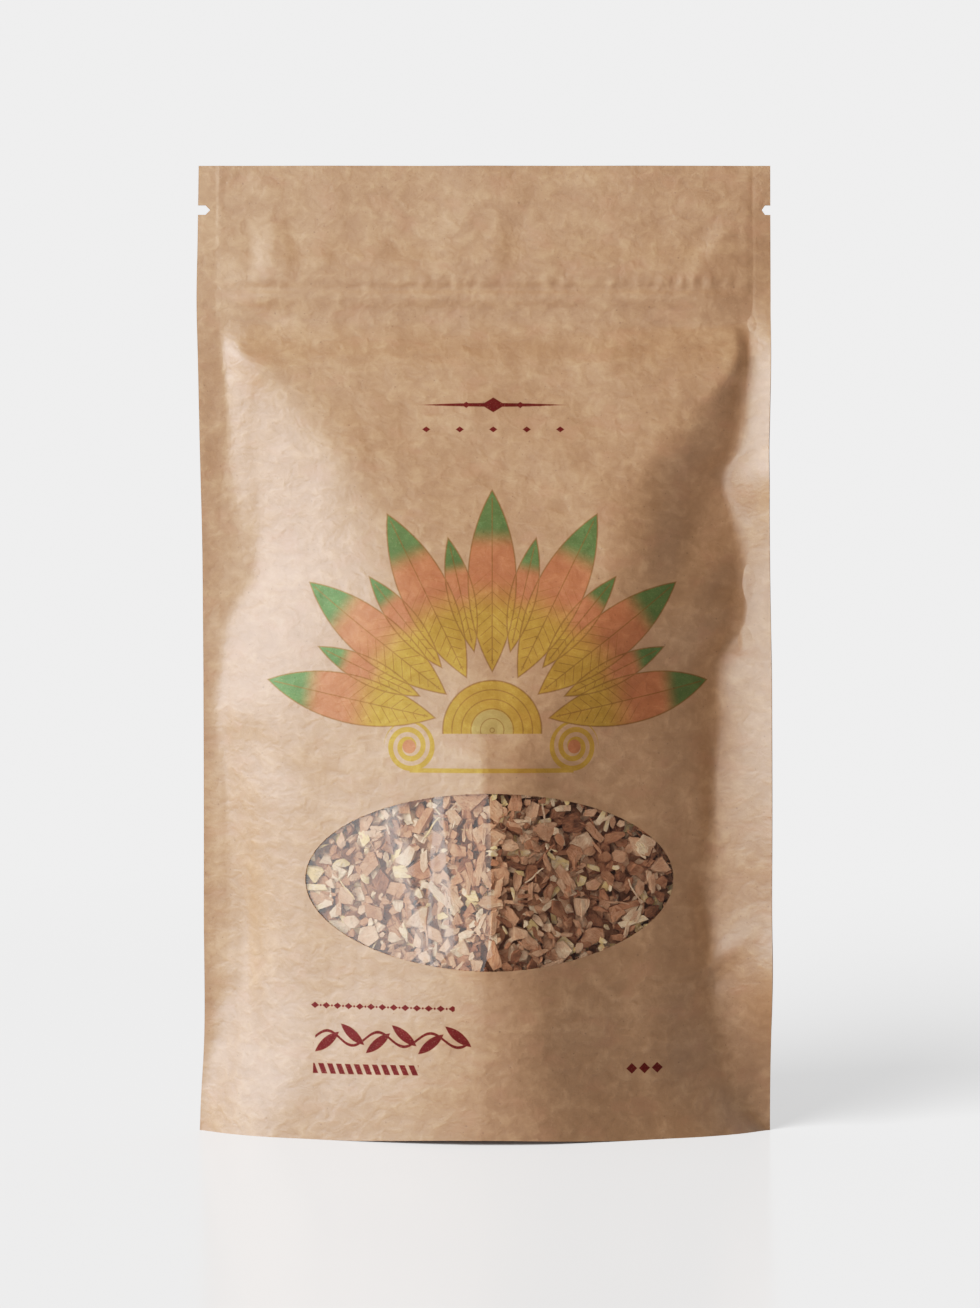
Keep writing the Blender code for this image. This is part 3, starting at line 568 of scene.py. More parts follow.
def smooth(obj, angle=SHARP_ANGLE):
    """Shades an object smooth, apart from edges sharper than the angle."""
    select_only(obj)
    bpy.ops.object.shade_smooth_by_angle(angle=angle)


def row_heights(bands):
    """Heights of a sheet's rows, from bands of (start, pitch)."""
    heights = []
    for (start, pitch), (end, _) in zip(bands, bands[1:]):
        count = round((end - start) / pitch)
        heights += [start + (end - start) * k / count for k in range(count)]
    return np.array(heights + [bands[-1][0]])


def panel(name, shape, side_columns, strip_columns, bands, face, relief, outward, lifted):
    """A kraft panel: its mesh columns follow the foot of the bulge and the edge."""
    heights = row_heights(bands)
    half = side_columns + strip_columns
    places = np.concatenate([
        np.linspace(0, 1, side_columns + 1), 1 + np.linspace(0, 1, strip_columns + 1)[1:],
    ])

    def place(column, row):
        z = heights[row]
        side = np.sign(column - half)
        at = places[np.abs(column - half)]
        foot = by_side(side, through(shape["left_foot"], z), through(shape["right_foot"], z))
        edge = by_side(side, through(LEFT_EDGE, z), through(RIGHT_EDGE, z))
        x = side * np.where(at < 1, at * foot, foot + (at - 1) * (edge - foot))
        y = face(x, z) + outward * relief(x, z)
        across = arc_length(x, face(x, z), column, row)
        if lifted:
            z = z + rim_height(x) * np.maximum(0, 1 - z / RIM_LIFT_REACH)
        return x, y, z, across, heights[row]

    obj = formed_sheet(name, 2 * half + 1, len(heights), place)
    thicken(obj, PAPER, -outward)
    level_rim(obj, lifted)
    return obj


def arc_length(x, y, column, row):
    """How far each place is from the middle, measured along the sheet."""
    wide = column.max() + 1
    order = np.argsort(row * wide + column, kind="stable")
    xs, ys = x[order].reshape(-1, wide), y[order].reshape(-1, wide)
    steps = np.hypot(np.diff(xs, axis=1), np.diff(ys, axis=1))
    lengths = np.concatenate([np.zeros((len(xs), 1)), np.cumsum(steps, axis=1)], axis=1)
    lengths -= lengths[:, wide // 2][:, None]
    across = np.empty(len(x))
    across[order] = lengths.ravel()
    return across


def level_rim(obj, lifted):
    """Cuts the edge that stands on the floor square to it."""
    for vertex in obj.data.vertices:
        rim = float(rim_height(vertex.co.x / MM)) * MM if lifted else 0.0
        if vertex.co.z < rim + RIM_BAND * MM:
            vertex.co.z = rim


def cut_with(obj, cutter):
    """Cuts a cutter out of an object and removes the cutter."""
    use_modifier(obj, "BOOLEAN", operation="DIFFERENCE", solver="MANIFOLD", object=cutter)


def window_cutter():
    """An oval rod that cuts the window out of the front panel."""
    bpy.ops.mesh.primitive_cylinder_add(vertices=WINDOW_SIDES, radius=1, depth=1)
    cutter = bpy.context.object
    cutter.data.transform(Matrix.Rotation(math.pi / 2, 4, "X"))
    cutter.data.transform(Matrix.Diagonal((WINDOW_HALF[0] * MM, 60 * MM, WINDOW_HALF[1] * MM, 1)))
    cutter.data.transform(Matrix.Translation((WINDOW_CENTRE[0] * MM, -35 * MM, WINDOW_CENTRE[1] * MM)))
    cutter.data.uv_layers[0].name = "sheet"
    return cutter


def notch_cutter(side, depth):
    """A tear notch: a block whose inner face is drawn to a point."""
    edge = float(side * through(RIGHT_EDGE if side > 0 else LEFT_EDGE, NOTCH_HEIGHT))
    bpy.ops.mesh.primitive_cube_add(size=2)
    cutter = bpy.context.object
    outer, inner = edge + side * 2, edge - side * NOTCH_STRAIGHT * depth
    start_edit(cutter)
    bpy.ops.mesh.bisect(plane_co=(0, 0, 0), plane_no=(0, 0, 1))
    bpy.ops.object.mode_set(mode="OBJECT")
    for vertex in cutter.data.vertices:
        inward = vertex.co.x * side < 0
        point = inward and abs(vertex.co.z) < 0.5
        x = (edge - side * depth if point else inner) if inward else outer
        vertex.co = (x * MM, vertex.co.y * 4 * MM, (NOTCH_HEIGHT + vertex.co.z * NOTCH_HALF_OPENING) * MM)
    cutter.data.uv_layers[0].name = "sheet"
    outward_faces(cutter)
    return cutter


def outward_faces(obj):
    """Makes a closed mesh's faces point outwards."""
    start_edit(obj)
    bpy.ops.mesh.normals_make_consistent(inside=False)
    bpy.ops.object.mode_set(mode="OBJECT")


def window_film(columns=72, rows=44):
    """A clear sheet just behind the window, an oval drawn from a square grid."""
    half_x, half_z = (half + FILM_OVERLAP for half in WINDOW_HALF)

    def place(column, row):
        a, b = 2 * column / (columns - 1) - 1, 2 * row / (rows - 1) - 1
        x = WINDOW_CENTRE[0] + half_x * a * np.sqrt(1 - b * b / 2)
        z = WINDOW_CENTRE[1] + half_z * b * np.sqrt(1 - a * a / 2)
        y = front_face(x, z) - front_relief(x, z) + FILM_BEHIND * slope_allowance(front_face, x, z)
        return x, y, z, x, z

    obj = formed_sheet("window_film_sheet", columns, rows, place)
    thicken(obj, FILM, -1)
    return obj


def slope_allowance(face, x, z):
    """How much longer a gap is along Y than square to a sloping face."""
    across_slope = (face(x + 1, z) - face(x - 1, z)) / 2
    up_slope = (face(x, z + 1) - face(x, z - 1)) / 2
    return np.sqrt(1 + across_slope**2 + up_slope**2)


def gusset_height(x, share):
    """Height of the gusset between its seals. share runs from -1 at the front seal to 1 at the back one."""
    fold = through(GUSSET_FOLD, np.abs(x))
    return GUSSET_SEAL + (fold - GUSSET_SEAL) * (1 - share**2)


def bottom_gusset(columns=97, rows=45):
    """The folded bottom panel, opened by the weight of the root, with the line of its middle fold."""
    def place(column, row):
        x = GUSSET_END * np.sin(math.pi / 2 * (2 * column / (columns - 1) - 1))
        t = 2 * row / (rows - 1) - 1
        share = np.clip(t / GUSSET_SEAL_SHARE, -1, 1)
        seal = np.maximum(GUSSET_SEAL * (1 - np.abs(t)) / (1 - GUSSET_SEAL_SHARE), GUSSET_FOOT)
        z = np.where(np.abs(share) < 1, gusset_height(x, share), seal)
        wall = GUSSET_CLEARANCE + PAPER
        front = front_face(x, z) + wall * slope_allowance(front_face, x, z)
        back = back_face(x, z) - wall * slope_allowance(back_face, x, z)
        lift = np.where(t < 0, rim_height(x) * np.maximum(0, 1 - z / GUSSET_SEAL), 0)
        y = (front + back) / 2 + (back - front) / 2 * share
        crease = GUSSET_CREASE[0] * hump(share, GUSSET_CREASE[1])
        crease += lumps(GUSSET_LUMPS, x, y + 100, LUMP_SEED + 2) * (1 - share**2)
        return x, y, z + lift + crease, x, y + 150

    obj = formed_sheet("bottom_gusset_sheet", columns, rows, place)
    thicken(obj, PAPER, 1)
    return obj


def zip_strip(name):
    """A half of the zip, its ends crushed flat where they run into the side seals."""
    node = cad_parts[name]
    obj = in_scene(f"{name}_strip", node.data.copy())
    obj.data.transform(node.matrix_world)
    start_edit(obj)
    bpy.ops.mesh.remove_doubles(threshold=0.00001)
    slit([side * place * MM for place, _ in ZIP_CRUSH[1:-1] for side in (-1, 1)])
    bpy.ops.mesh.select_all(action="SELECT")
    bpy.ops.mesh.normals_make_consistent(inside=False)
    bpy.ops.object.mode_set(mode="OBJECT")
    for vertex in obj.data.vertices:
        vertex.co.y *= float(through(ZIP_CRUSH, abs(vertex.co.x) / MM))
    return obj


def fill_top(x):
    """The root lies heaped a little towards the right."""
    return FILL_TOP - FILL_HEAP * (x / FILL_END - FILL_LEAN) ** 2 + FILL_RIPPLE * np.sin(x / 9)


def fill_end(x, z):
    """How far out to a side the root reaches."""
    front, back = (by_side(x, through(s["left_foot"], z), through(s["right_foot"], z)) for s in (FRONT, BACK))
    return np.minimum(front, back) - FILL_SHORT_OF_FOOT


def fill_bottom(x, share):
    """The root rests on the opened gusset, and outside its two raised corners it comes down no further."""
    x = np.clip(x, -GUSSET_CORNER, GUSSET_CORNER)
    return np.maximum(gusset_height(x, share), gusset_height(x, 0.5 * share)) + FILL_ABOVE_GUSSET


def fill_places(a, b, c):
    """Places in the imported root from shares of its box, each from -1 to 1."""
    share = np.sin(math.pi / 2 * a)
    x = FILL_END * share
    for _ in range(3):
        low = fill_bottom(x, b)
        z = low + (fill_top(x) - low) * (c + 1) / 2
        x = fill_end(x, z) * share
    front = front_face(x, z) + FILL_CORE_DEPTH * slope_allowance(front_face, x, z)
    back = back_face(x, z) - FILL_CORE_DEPTH * slope_allowance(back_face, x, z)
    half = np.maximum((back - front) / 2, FILL_THINNEST / 2)
    return x, (front + back) / 2 + half * b * (1 - FILL_PINCH * np.maximum(c, 0) ** 8), z


def root_core(cuts=CORE_CUTS):
    """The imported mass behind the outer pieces, lumpy with the ends of more pieces."""
    bpy.ops.mesh.primitive_cube_add(size=2)
    core = bpy.context.object
    core.name = core.data.name = "root_core"
    start_edit(core)
    bpy.ops.mesh.subdivide(number_cuts=cuts)
    bpy.ops.object.mode_set(mode="OBJECT")
    a, b, c = mesh_points(core.data).T
    x, y, z = fill_places(a, b, c)
    sink = np.abs(lumps(CORE_LUMPS, x + 0.7 * y, z + 0.3 * y, ROOT_SEED))
    middle = (front_face(x, z) + back_face(x, z)) / 2
    y = middle + (y - middle) * (1 - sink / np.maximum(np.abs(y - middle), 4))
    z = z - np.where(c > 0.99, 1.5 * sink, 0)
    move_points(core.data, np.stack([x, y, z], axis=1))
    return core


# How near corners of a cut piece, about 1 long, are joined
CORNER_JOIN = 0.004


def trim(point, normal):
    """Cuts off what lies beyond a plane and closes the cut."""
    bpy.ops.mesh.select_all(action="SELECT")
    bpy.ops.mesh.bisect(plane_co=point, plane_no=normal, use_fill=True, clear_outer=True)


def finish_cut(broken):
    """Breaks the edges of a cut piece and closes the edit."""
    bpy.ops.mesh.select_all(action="SELECT")
    bpy.ops.mesh.remove_doubles(threshold=CORNER_JOIN)
    bpy.ops.mesh.bevel(offset=broken, offset_type="OFFSET", segments=1, affect="EDGES", clamp_overlap=True)
    bpy.ops.mesh.select_all(action="SELECT")
    bpy.ops.mesh.remove_doubles(threshold=CORNER_JOIN)
    bpy.ops.mesh.normals_make_consistent(inside=False)
    bpy.ops.object.mode_set(mode="OBJECT")


def cut_block(name, draw, breadth, thickness, planes, lean, broken):
    """A chopped piece: a block about 1 long, trimmed by planes that stand nearly square to its flat sides."""
    bpy.ops.mesh.primitive_cube_add(size=1)
    obj = bpy.context.object
    obj.name = name
    start_edit(obj)
    bpy.ops.transform.resize(value=(1, thickness, breadth))
    for k in range(planes):
        angle = 2 * math.pi * (k + draw.uniform(-0.35, 0.35)) / planes
        reach = draw.uniform(0.5, 0.95)
        point = (0.5 * reach * math.cos(angle), 0, 0.5 * breadth * reach * math.sin(angle))
        normal = Vector((math.cos(angle), draw.uniform(-lean, lean), math.sin(angle))).normalized()
        trim(point, normal)
    for side in (-1, 1):
        normal = Vector((draw.uniform(-0.3, 0.3), side, draw.uniform(-0.3, 0.3))).normalized()
        trim((0, side * 0.42 * thickness, 0), normal)
    finish_cut(broken)
    return obj


def shaving(name, draw, bend):
    """A thin shaving of skin: a strip bent across its length, with uneven edges."""
    bpy.ops.mesh.primitive_grid_add(x_subdivisions=5, y_subdivisions=3, size=1)
    obj = bpy.context.object
    obj.name = name
    for vertex in obj.data.vertices:
        x, z = vertex.co.x, 0.5 * vertex.co.y
        edge = 1 + draw.uniform(-0.25, 0.1)
        vertex.co = (x * edge, bend * (x * x + z * z) + draw.uniform(-0.012, 0.012), z * edge)
    use_modifier(obj, "SOLIDIFY", thickness=0.07, offset=0)
    outward_faces(obj)
    return obj


def fibre(name, draw):
    """A frayed fibre: a thin four-sided rod, stretched out and bowed."""
    bpy.ops.mesh.primitive_cube_add(size=1)
    obj = bpy.context.object
    obj.name = name
    start_edit(obj)
    bpy.ops.transform.resize(value=(1, 0.05, 0.05))
    slit((-0.3, -0.1, 0.1, 0.3))
    bpy.ops.object.mode_set(mode="OBJECT")
    bow, wave = draw.uniform(-0.25, 0.25), draw.uniform(0.0, 0.05)
    for vertex in obj.data.vertices:
        x = vertex.co.x
        thin = 1 - 1.1 * x * x
        rise = bow * x * x + wave * math.sin(7 * x)
        vertex.co = (x, vertex.co.y * thin + 0.03 * x, vertex.co.z * thin + rise)
    return obj


# The chopped pieces, about 1 long: how many, their breadths and thicknesses, how many shapes of outline, how
# much their sides lean, and how much their edges are broken
CHOPPED = {
    "chunk": (10, (0.6, 0.9), (0.35, 0.5), 3, 0.4, 0.025),
    "slice": (10, (0.5, 0.9), (0.14, 0.24), 3, 0.5, 0.016),
    "splinter": (6, (0.16, 0.32), (0.10, 0.18), 1, 0.6, 0.01),
}


def pieces_to_copy(draw):
    """The cut pieces that are copied into the root, by kind."""
    found = {}
    for kind, (count, breadths, thicknesses, shapes, lean, broken) in CHOPPED.items():
        found[kind] = []
        for k in range(count):
            breadth, thickness = draw.uniform(*breadths), draw.uniform(*thicknesses)
            piece = cut_block(f"{kind}_{k}", draw, breadth, thickness, 4 + k % shapes, lean, broken)
            found[kind].append(piece)
    found["skin"] = [shaving(f"skin_{k}", draw, draw.uniform(0.25, 0.6)) for k in range(4)]
    found["fibre"] = [fibre(f"fibre_{k}", draw) for k in range(4)]
    return found


def tilted(face, x, z, draw, tilt, spin):
    """A turn that lays a piece flat against a face, spins it by an angle and tips it at random."""
    across_slope = float(face(x + 2, z) - face(x - 2, z)) / 4
    up_slope = float(face(x, z + 2) - face(x, z - 2)) / 4
    normal = Vector((across_slope, -1, up_slope)).normalized()
    lie = Vector((0, -1, 0)).rotation_difference(normal).to_matrix()
    tip = Matrix.Rotation(draw.gauss(0, tilt), 3, "X") @ Matrix.Rotation(draw.gauss(0, tilt), 3, "Z")
    return lie @ tip @ Matrix.Rotation(spin, 3, "Y")


def copy_piece(base, size, turn, tone, draw):
    """A copy of a cut piece at its size and turn, skewed a little, with its grain and tone."""
    mesh = base.data.copy()
    skew = np.array([
        [1, 0, draw.uniform(-0.35, 0.35)], [0, draw.uniform(0.85, 1.15), 0],
        [draw.uniform(-0.3, 0.3), 0, draw.uniform(0.7, 1.1)],
    ])
    points = mesh_points(mesh) @ skew.T * size
    grain = mesh.attributes.new("grain", "FLOAT_VECTOR", "POINT")
    shift = np.array([draw.uniform(0, 90) for _ in range(3)])
    grain.data.foreach_set("vector", (points + shift).astype(np.float32).ravel())
    shade = mesh.attributes.new("tone", "FLOAT", "POINT")
    shade.data.foreach_set("value", np.full(len(points), tone, np.float32))
    points = points @ np.array(turn).T
    return mesh, points


def press_to_window(mesh, points, x, z, show):
    """Pushes a piece in behind the window until its outermost corner is `show` behind the film."""
    here = float(front_face(x, z))
    across, up = x + points[:, 0], z + points[:, 2]
    gaps = here + points[:, 1] - front_face(across, up) + front_relief(across, up)
    shift = (show + SHOW) * float(slope_allowance(front_face, x, z)) - gaps.min()
    move_points(mesh, points + np.array([x, here + shift, z]))
    return mesh


def spread_out(draw, layer, taken, margin=5, tries=40):
    """Seeded places and sizes over the window, with room kept from the pieces that are there already."""
    found = []
    for _ in range(layer["count"] * tries):
        x = WINDOW_CENTRE[0] + draw.uniform(-1, 1) * (WINDOW_HALF[0] + margin)
        z = WINDOW_CENTRE[1] + draw.uniform(-1, 1) * (WINDOW_HALF[1] + margin)
        size = draw.uniform(*layer["sizes"])
        room = layer["room"] * size
        if from_window(x, z, margin) < 1 and all(math.hypot(x - a, z - b) > room + c for a, b, c in taken):
            found.append((x, z, size))
            taken.append((x, z, room))
        if len(found) == layer["count"]:
            break
    return found


def root_tone(draw, dark, x=0.0):
    """The tone of a piece, from 0 for dark skin to 1 for yellow flesh. The pieces are made paler to the left,
    the lit side, and darker to the right, as painted light.
    """
    tones = [draw.uniform(*limits) for limits, _ in TONE_KINDS]
    tone = draw.choices(tones, weights=[share for _, share in TONE_KINDS])[0]
    # The share dark lowers the tone of deeper pieces: painted shade.
    return (tone - PAINTED_LIGHT_TO_LEFT * (x / WINDOW_HALF[0] + 0.3) * (tone < 0.9)) * (1 - dark)


# Layers of pieces behind the window, from the film inwards: how many, their sizes, the radius that each keeps
# to itself as a share of its size, how far behind the film, how much they are tipped, how much darker their
# colour is painted as shade, whether they lie over those before instead of keeping room from them, and their
# kinds
LAYER_PARTS = ("count", "sizes", "room", "deep", "tilt", "dark", "fresh", "kinds")
WINDOW_LAYERS = [dict(zip(LAYER_PARTS, layer)) for layer in (
    (34, (7.0, 10.0), 0.36, (0.0, 0.3), 0.10, 0, True, {"chunk": 4, "slice": 6, "splinter": 1}),
    (110, (4.6, 7.0), 0.36, (0.0, 0.5), 0.16, 0, False, {"chunk": 6, "slice": 5, "splinter": 3}),
    (420, (2.4, 4.6), 0.30, (0.0, 0.8), 0.3, 0.03, False, {"chunk": 6, "slice": 3, "splinter": 4}),
    (70, (5.0, 9.0), 0.2, (0.0, 0.3), 0.12, 0, True, {"fibre": 5, "splinter": 4}),
    (380, (4.0, 7.0), 0.2, (0.8, 1.8), 0.4, 0.0, True, {"chunk": 6, "slice": 3, "splinter": 3, "skin": 1}),
    (330, (5.0, 8.0), 0.19, (1.9, 3.4), 0.6, 0.05, True, {"chunk": 6, "slice": 3}),
)]
# Bundles of splinters that lie side by side: (x, z, turn in degrees, how many, length, tone)
BUNDLES = [
    (-3, 84, 92, 7, 9, 0.52), (-2, 72, 88, 8, 10, 0.46), (1, 60, 95, 6, 8, 0.58), (-9, 66, 70, 5, 7, 0.62),
    (44, 80, 40, 6, 8, 0.72), (41, 62, -35, 6, 9, 0.74), (47, 70, 80, 5, 7, 0.60), (33, 88, -50, 4, 8, 0.84),
    (12, 55, 30, 5, 7, 0.50), (-24, 58, 55, 5, 7, 0.40), (-30, 84, -25, 4, 8, 0.66), (22, 71, 75, 4, 9, 0.55),
    (-44, 66, 15, 4, 8, 0.40), (9, 87, 10, 4, 6, 0.66),
]


def window_pieces(bases, draw):
    """The cut pieces seen through the window, in layers and in bundles, gathered by kind."""
    found = {kind: [] for kind in bases}
    taken = []
    for layer in WINDOW_LAYERS:
        if layer["fresh"]:
            taken = []
        for x, z, size in spread_out(draw, layer, taken):
            kind = draw.choices(list(layer["kinds"]), weights=list(layer["kinds"].values()))[0]
            turn = tilted(front_face, x, z, draw, layer["tilt"], draw.uniform(0, 2 * math.pi))
            base = draw.choice(bases[kind])
            mesh, points = copy_piece(base, size, turn, root_tone(draw, layer["dark"], x), draw)
            found[kind].append(press_to_window(mesh, points, x, z, draw.uniform(*layer["deep"])))
    for x, z, degrees, count, length, tone in BUNDLES:
        for k in range(count):
            spin = math.radians(degrees + draw.gauss(0, 7))
            aside = (k - (count - 1) / 2) * 0.1 * length
            along = draw.uniform(-0.15, 0.15) * length
            at_x = x + along * math.cos(spin) + aside * math.sin(spin)
            at_z = z - along * math.sin(spin) + aside * math.cos(spin)
            turn = tilted(front_face, at_x, at_z, draw, 0.06, spin)
            size = length * draw.uniform(0.7, 1.1)
            piece_tone = min(tone + draw.uniform(-0.1, 0.1), 1)
            mesh, points = copy_piece(draw.choice(bases["splinter"]), size, turn, piece_tone, draw)
            found["splinter"].append(press_to_window(mesh, points, at_x, at_z, draw.uniform(0, 0.7)))
    return found


def clearance(points):
    """How far points are at least from the two panels and above the gusset."""
    x, y, z = points.T
    front, back = front_face(x, z) - front_relief(x, z), back_face(x, z) + back_relief(x, z)
    share = np.clip(2 * (y - front) / np.maximum(back - front, 1) - 1, -1, 1)
    return min((y - front).min(), (back - y).min(), (z - gusset_height(x, share)).min())


def mass_pieces(bases, core, draw):
    """Larger pieces that stand out of the rest of the mass all round, laid on a share of its faces."""
    found = []
    for polygon in list(core.data.polygons)[::MASS_STEP]:
        centre = np.array(polygon.center) / MM
        front = polygon.normal.y < -0.3
        if draw.random() < MASS_LEFT_OUT or (front and from_window(centre[0], centre[2], 4) < 1):
            continue
        base = draw.choice(bases["chunk"] + bases["slice"])
        lie = Vector((0, -1, 0)).rotation_difference(polygon.normal).to_matrix()
        turn = lie @ Matrix.Rotation(draw.uniform(0, 2 * math.pi), 3, "Y")
        mesh, points = copy_piece(base, draw.uniform(*MASS_SIZES), turn, root_tone(draw, 0), draw)
        move_points(mesh, points + centre)
        if clearance(points + centre) > PIECE_CLEARANCE:
            found.append(mesh)
    return found


def joined(name, meshes):
    """Joins meshes into one object of that name."""
    objects = [in_scene(f"{name}_{k}", mesh) for k, mesh in enumerate(meshes)]
    select_only(objects[0])
    for obj in objects:
        obj.select_set(True)
    bpy.ops.object.join()
    objects[0].name = objects[0].data.name = name
    return objects[0]


def cut_root():
    """All the root: the core, the pieces in the window by kind, and those round the rest of the mass."""
    draw = random.Random(ROOT_SEED)
    bases = pieces_to_copy(draw)
    core = root_core()
    made = [core]
    for kind, meshes in window_pieces(bases, draw).items():
        made.append(joined(f"root_{kind}s", meshes))
    made.append(joined("root_mass_pieces", mass_pieces(bases, core, draw)))
    for kind in bases.values():
        for base in kind:
            bpy.data.objects.remove(base)
    return made


def feed(tree, node, entries):
    """Gives a node's entries their values: numbers, colours, fields, sockets or other nodes."""
    for key, value in entries.items():
        if isinstance(value, Field):
            value = value.socket
        if isinstance(value, bpy.types.Node):
            value = value.outputs[0]
        if isinstance(value, bpy.types.NodeSocket):
            tree.links.new(value, node.inputs[key])
        else:
            node.inputs[key].default_value = value


def add_node(tree, kind, entries=(), **settings):
    """Adds a shader node with its settings and its entries' values."""
    node = tree.nodes.new(f"ShaderNode{kind}")
    for key, value in settings.items():
        setattr(node, key, value)
    feed(tree, node, dict(entries))
    return node


class Field:
    """A number at every point of a surface: a shader socket that is worked with like a number."""

    def __init__(self, tree, socket):
        self.tree = tree
        self.socket = socket

    def math(self, operation, *others, clamp=False):
        entries = enumerate((self, *others))
        node = add_node(self.tree, "Math", entries, operation=operation, use_clamp=clamp)
        return Field(self.tree, node.outputs[0])

    def __add__(self, other):
        return self.math("ADD", other)

    def __sub__(self, other):
        return self.math("SUBTRACT", other)

    def __mul__(self, other):
        return self.math("MULTIPLY", other)

    def __truediv__(self, other):
        return self.math("DIVIDE", other)

    def away(self):
        return self.math("ABSOLUTE")

    def least(self, other):
        return self.math("MINIMUM", other)

    def most(self, other):
        return self.math("MAXIMUM", other)

    def inside(self, soft=0.16):
        """1 where this distance is below zero and 0 where it is above, over a soft edge."""
        return self.math("MULTIPLY_ADD", -1 / soft, 0.5, clamp=True)

    def upto(self, low, high):
        """Rises smoothly from 0 at low to 1 at high."""
        entries = {"Value": self, "From Min": low, "From Max": high}
        node = add_node(self.tree, "MapRange", entries, interpolation_type="SMOOTHSTEP")
        return Field(self.tree, node.outputs["Result"])


def length_of(a, b):
    """The length of a vector from its two parts."""
    return (a * a + b * b).math("SQRT")


def lens(along, across, half_length, half_width):
    """Distance outside a leaf shape pointed at both ends, the overlap of two circles."""
    offset = (half_length**2 - half_width**2) / (2 * half_width)
    return length_of(across.away() + offset, along) - (offset + half_width)


def lozenge(x, z, half_width, half_height):
    """Distance outside a lozenge, measured along its width."""
    return (x.away() / half_width + z.away() / half_height - 1) * min(half_width, half_height)


def repeat(value, pitch):
    """Folds a coordinate into cells of a pitch, each centred on zero."""
    return value - (value / pitch).math("ROUND") * pitch


def turned(x, z, degrees):
    """Coordinates turned by an angle."""
    c, s = math.cos(math.radians(degrees)), math.sin(math.radians(degrees))
    return x * c + z * s, z * c - x * s


def mix_colour(tree, share, under, over, mode="MIX"):
    """Lays one colour over another by a share."""
    entries = {"Factor": share, "A": under, "B": over}
    return add_node(tree, "Mix", entries, data_type="RGBA", blend_type=mode).outputs["Result"]


# The ornament on the front: a traditional palmette of petals in two rings over a heart and two volutes
PALMETTE_ROOT = (2.0, 112.5)
FRONT_PETALS = {"step": 26.0, "most": 3, "middle": 41.0, "half_length": 25.0, "half_width": 6.6}
REAR_PETALS = {"step": 26.0, "most": 2.5, "middle": 38.0, "half_length": 16.0, "half_width": 3.6}
HEART = 13.5
VOLUTE = {"x": 23.0, "z": -4.5, "radius": 7.2}
# Places of the tapered rule, of the lozenges under it, and of the three bands at the foot
RULE_AT = (2.3, 202.5)
SMALL_LOZENGES_UP = 195.6
BANDS_LEFT = -49.6
LOZENGES_UP = 36.6
LEAVES_UP = 27.8
BARS_UP = 19.4
LEAF_PITCH = 15.4
LOZENGE_PITCH = 3.4


def petals(x, z, ring, half_step):
    """The distance outside a ring of petals, and how far along and across them a place is."""
    step = math.radians(ring["step"])
    angle = x.math("ARCTAN2", z) - (step / 2 if half_step else 0)
    turn = (angle / step).math("ROUND")
    limit = ring["most"] - (0.5 if half_step else 0)
    turn = turn.least(limit).most(-limit - (1 if half_step else 0))
    rest = angle - turn * step
    radius = length_of(x, z)
    along = radius * rest.math("COSINE") - ring["middle"]
    across = radius * rest.math("SINE")
    return lens(along, across, ring["half_length"], ring["half_width"]), along, across


def petal_colour(tree, along, ring):
    """Ochre at a petal's root, coral along its middle and green at its tip."""
    share = along / (2 * ring["half_length"]) + 0.5
    warm = mix_colour(tree, share.upto(0.30, 0.52), INK_OCHRE, INK_CORAL)
    return mix_colour(tree, share.upto(0.66, 0.80), warm, INK_GREEN)


def palmette(tree, x, z):
    """The ink of the ornament, laid on white."""
    x, z = x - PALMETTE_ROOT[0], z - PALMETTE_ROOT[1]
    above = (z * -1 - 1.0).inside()
    ink = WHITE
    lines = None
    for ring, half_step in ((REAR_PETALS, True), (FRONT_PETALS, False)):
        outside, along, across = petals(x, z, ring, half_step)
        ink = mix_colour(tree, outside.inside(), ink, petal_colour(tree, along, ring))
        ribs = (repeat(along + across.away() * 0.9, 3.1).away() - 0.14).inside(0.2)
        vein = (across.away() - 0.16).inside(0.2).most(ribs * along.upto(6, -4))
        drawn = (outside.away() - 0.2).inside(0.22).most(vein * (outside + 0.9).inside(0.2))
        lines = drawn if lines is None else lines.most(drawn)

    radius = length_of(x, z)
    ink = mix_colour(tree, (radius - HEART).inside() * above, ink, INK_OCHRE)
    ink = mix_colour(tree, (radius - 5.6).inside() * above, ink, INK_PALE)
    rings = (repeat(radius - 0.6, 2.6).away() - 0.15).inside(0.2) * (radius - HEART).inside()
    rim = ((radius - HEART).away() - 0.22).inside(0.2)
    lines = lines.most(rings.most(rim) * above)

    side, drop = x.away() - VOLUTE["x"], z - VOLUTE["z"]
    from_eye = length_of(side, drop)
    swirl = from_eye + drop.math("ARCTAN2", side) * 0.42
    coil = (repeat(swirl, 2.64).away() - 0.72).inside() * (from_eye - VOLUTE["radius"]).inside()
    stem = ((drop + (VOLUTE["radius"] - 0.7)).away() - 0.62).inside() * side.inside()
    ink = mix_colour(tree, coil.most(stem), ink, INK_OCHRE)
    ink = mix_colour(tree, (from_eye - 1.9).inside(), ink, INK_CORAL)
    return mix_colour(tree, lines * 0.7, ink, INK_LINE)


def span(x, left, right, soft=0.16):
    """1 between two places and 0 outside them."""
    middle, half = (left + right) / 2, (right - left) / 2
    return ((x - middle).away() - half).inside(soft)


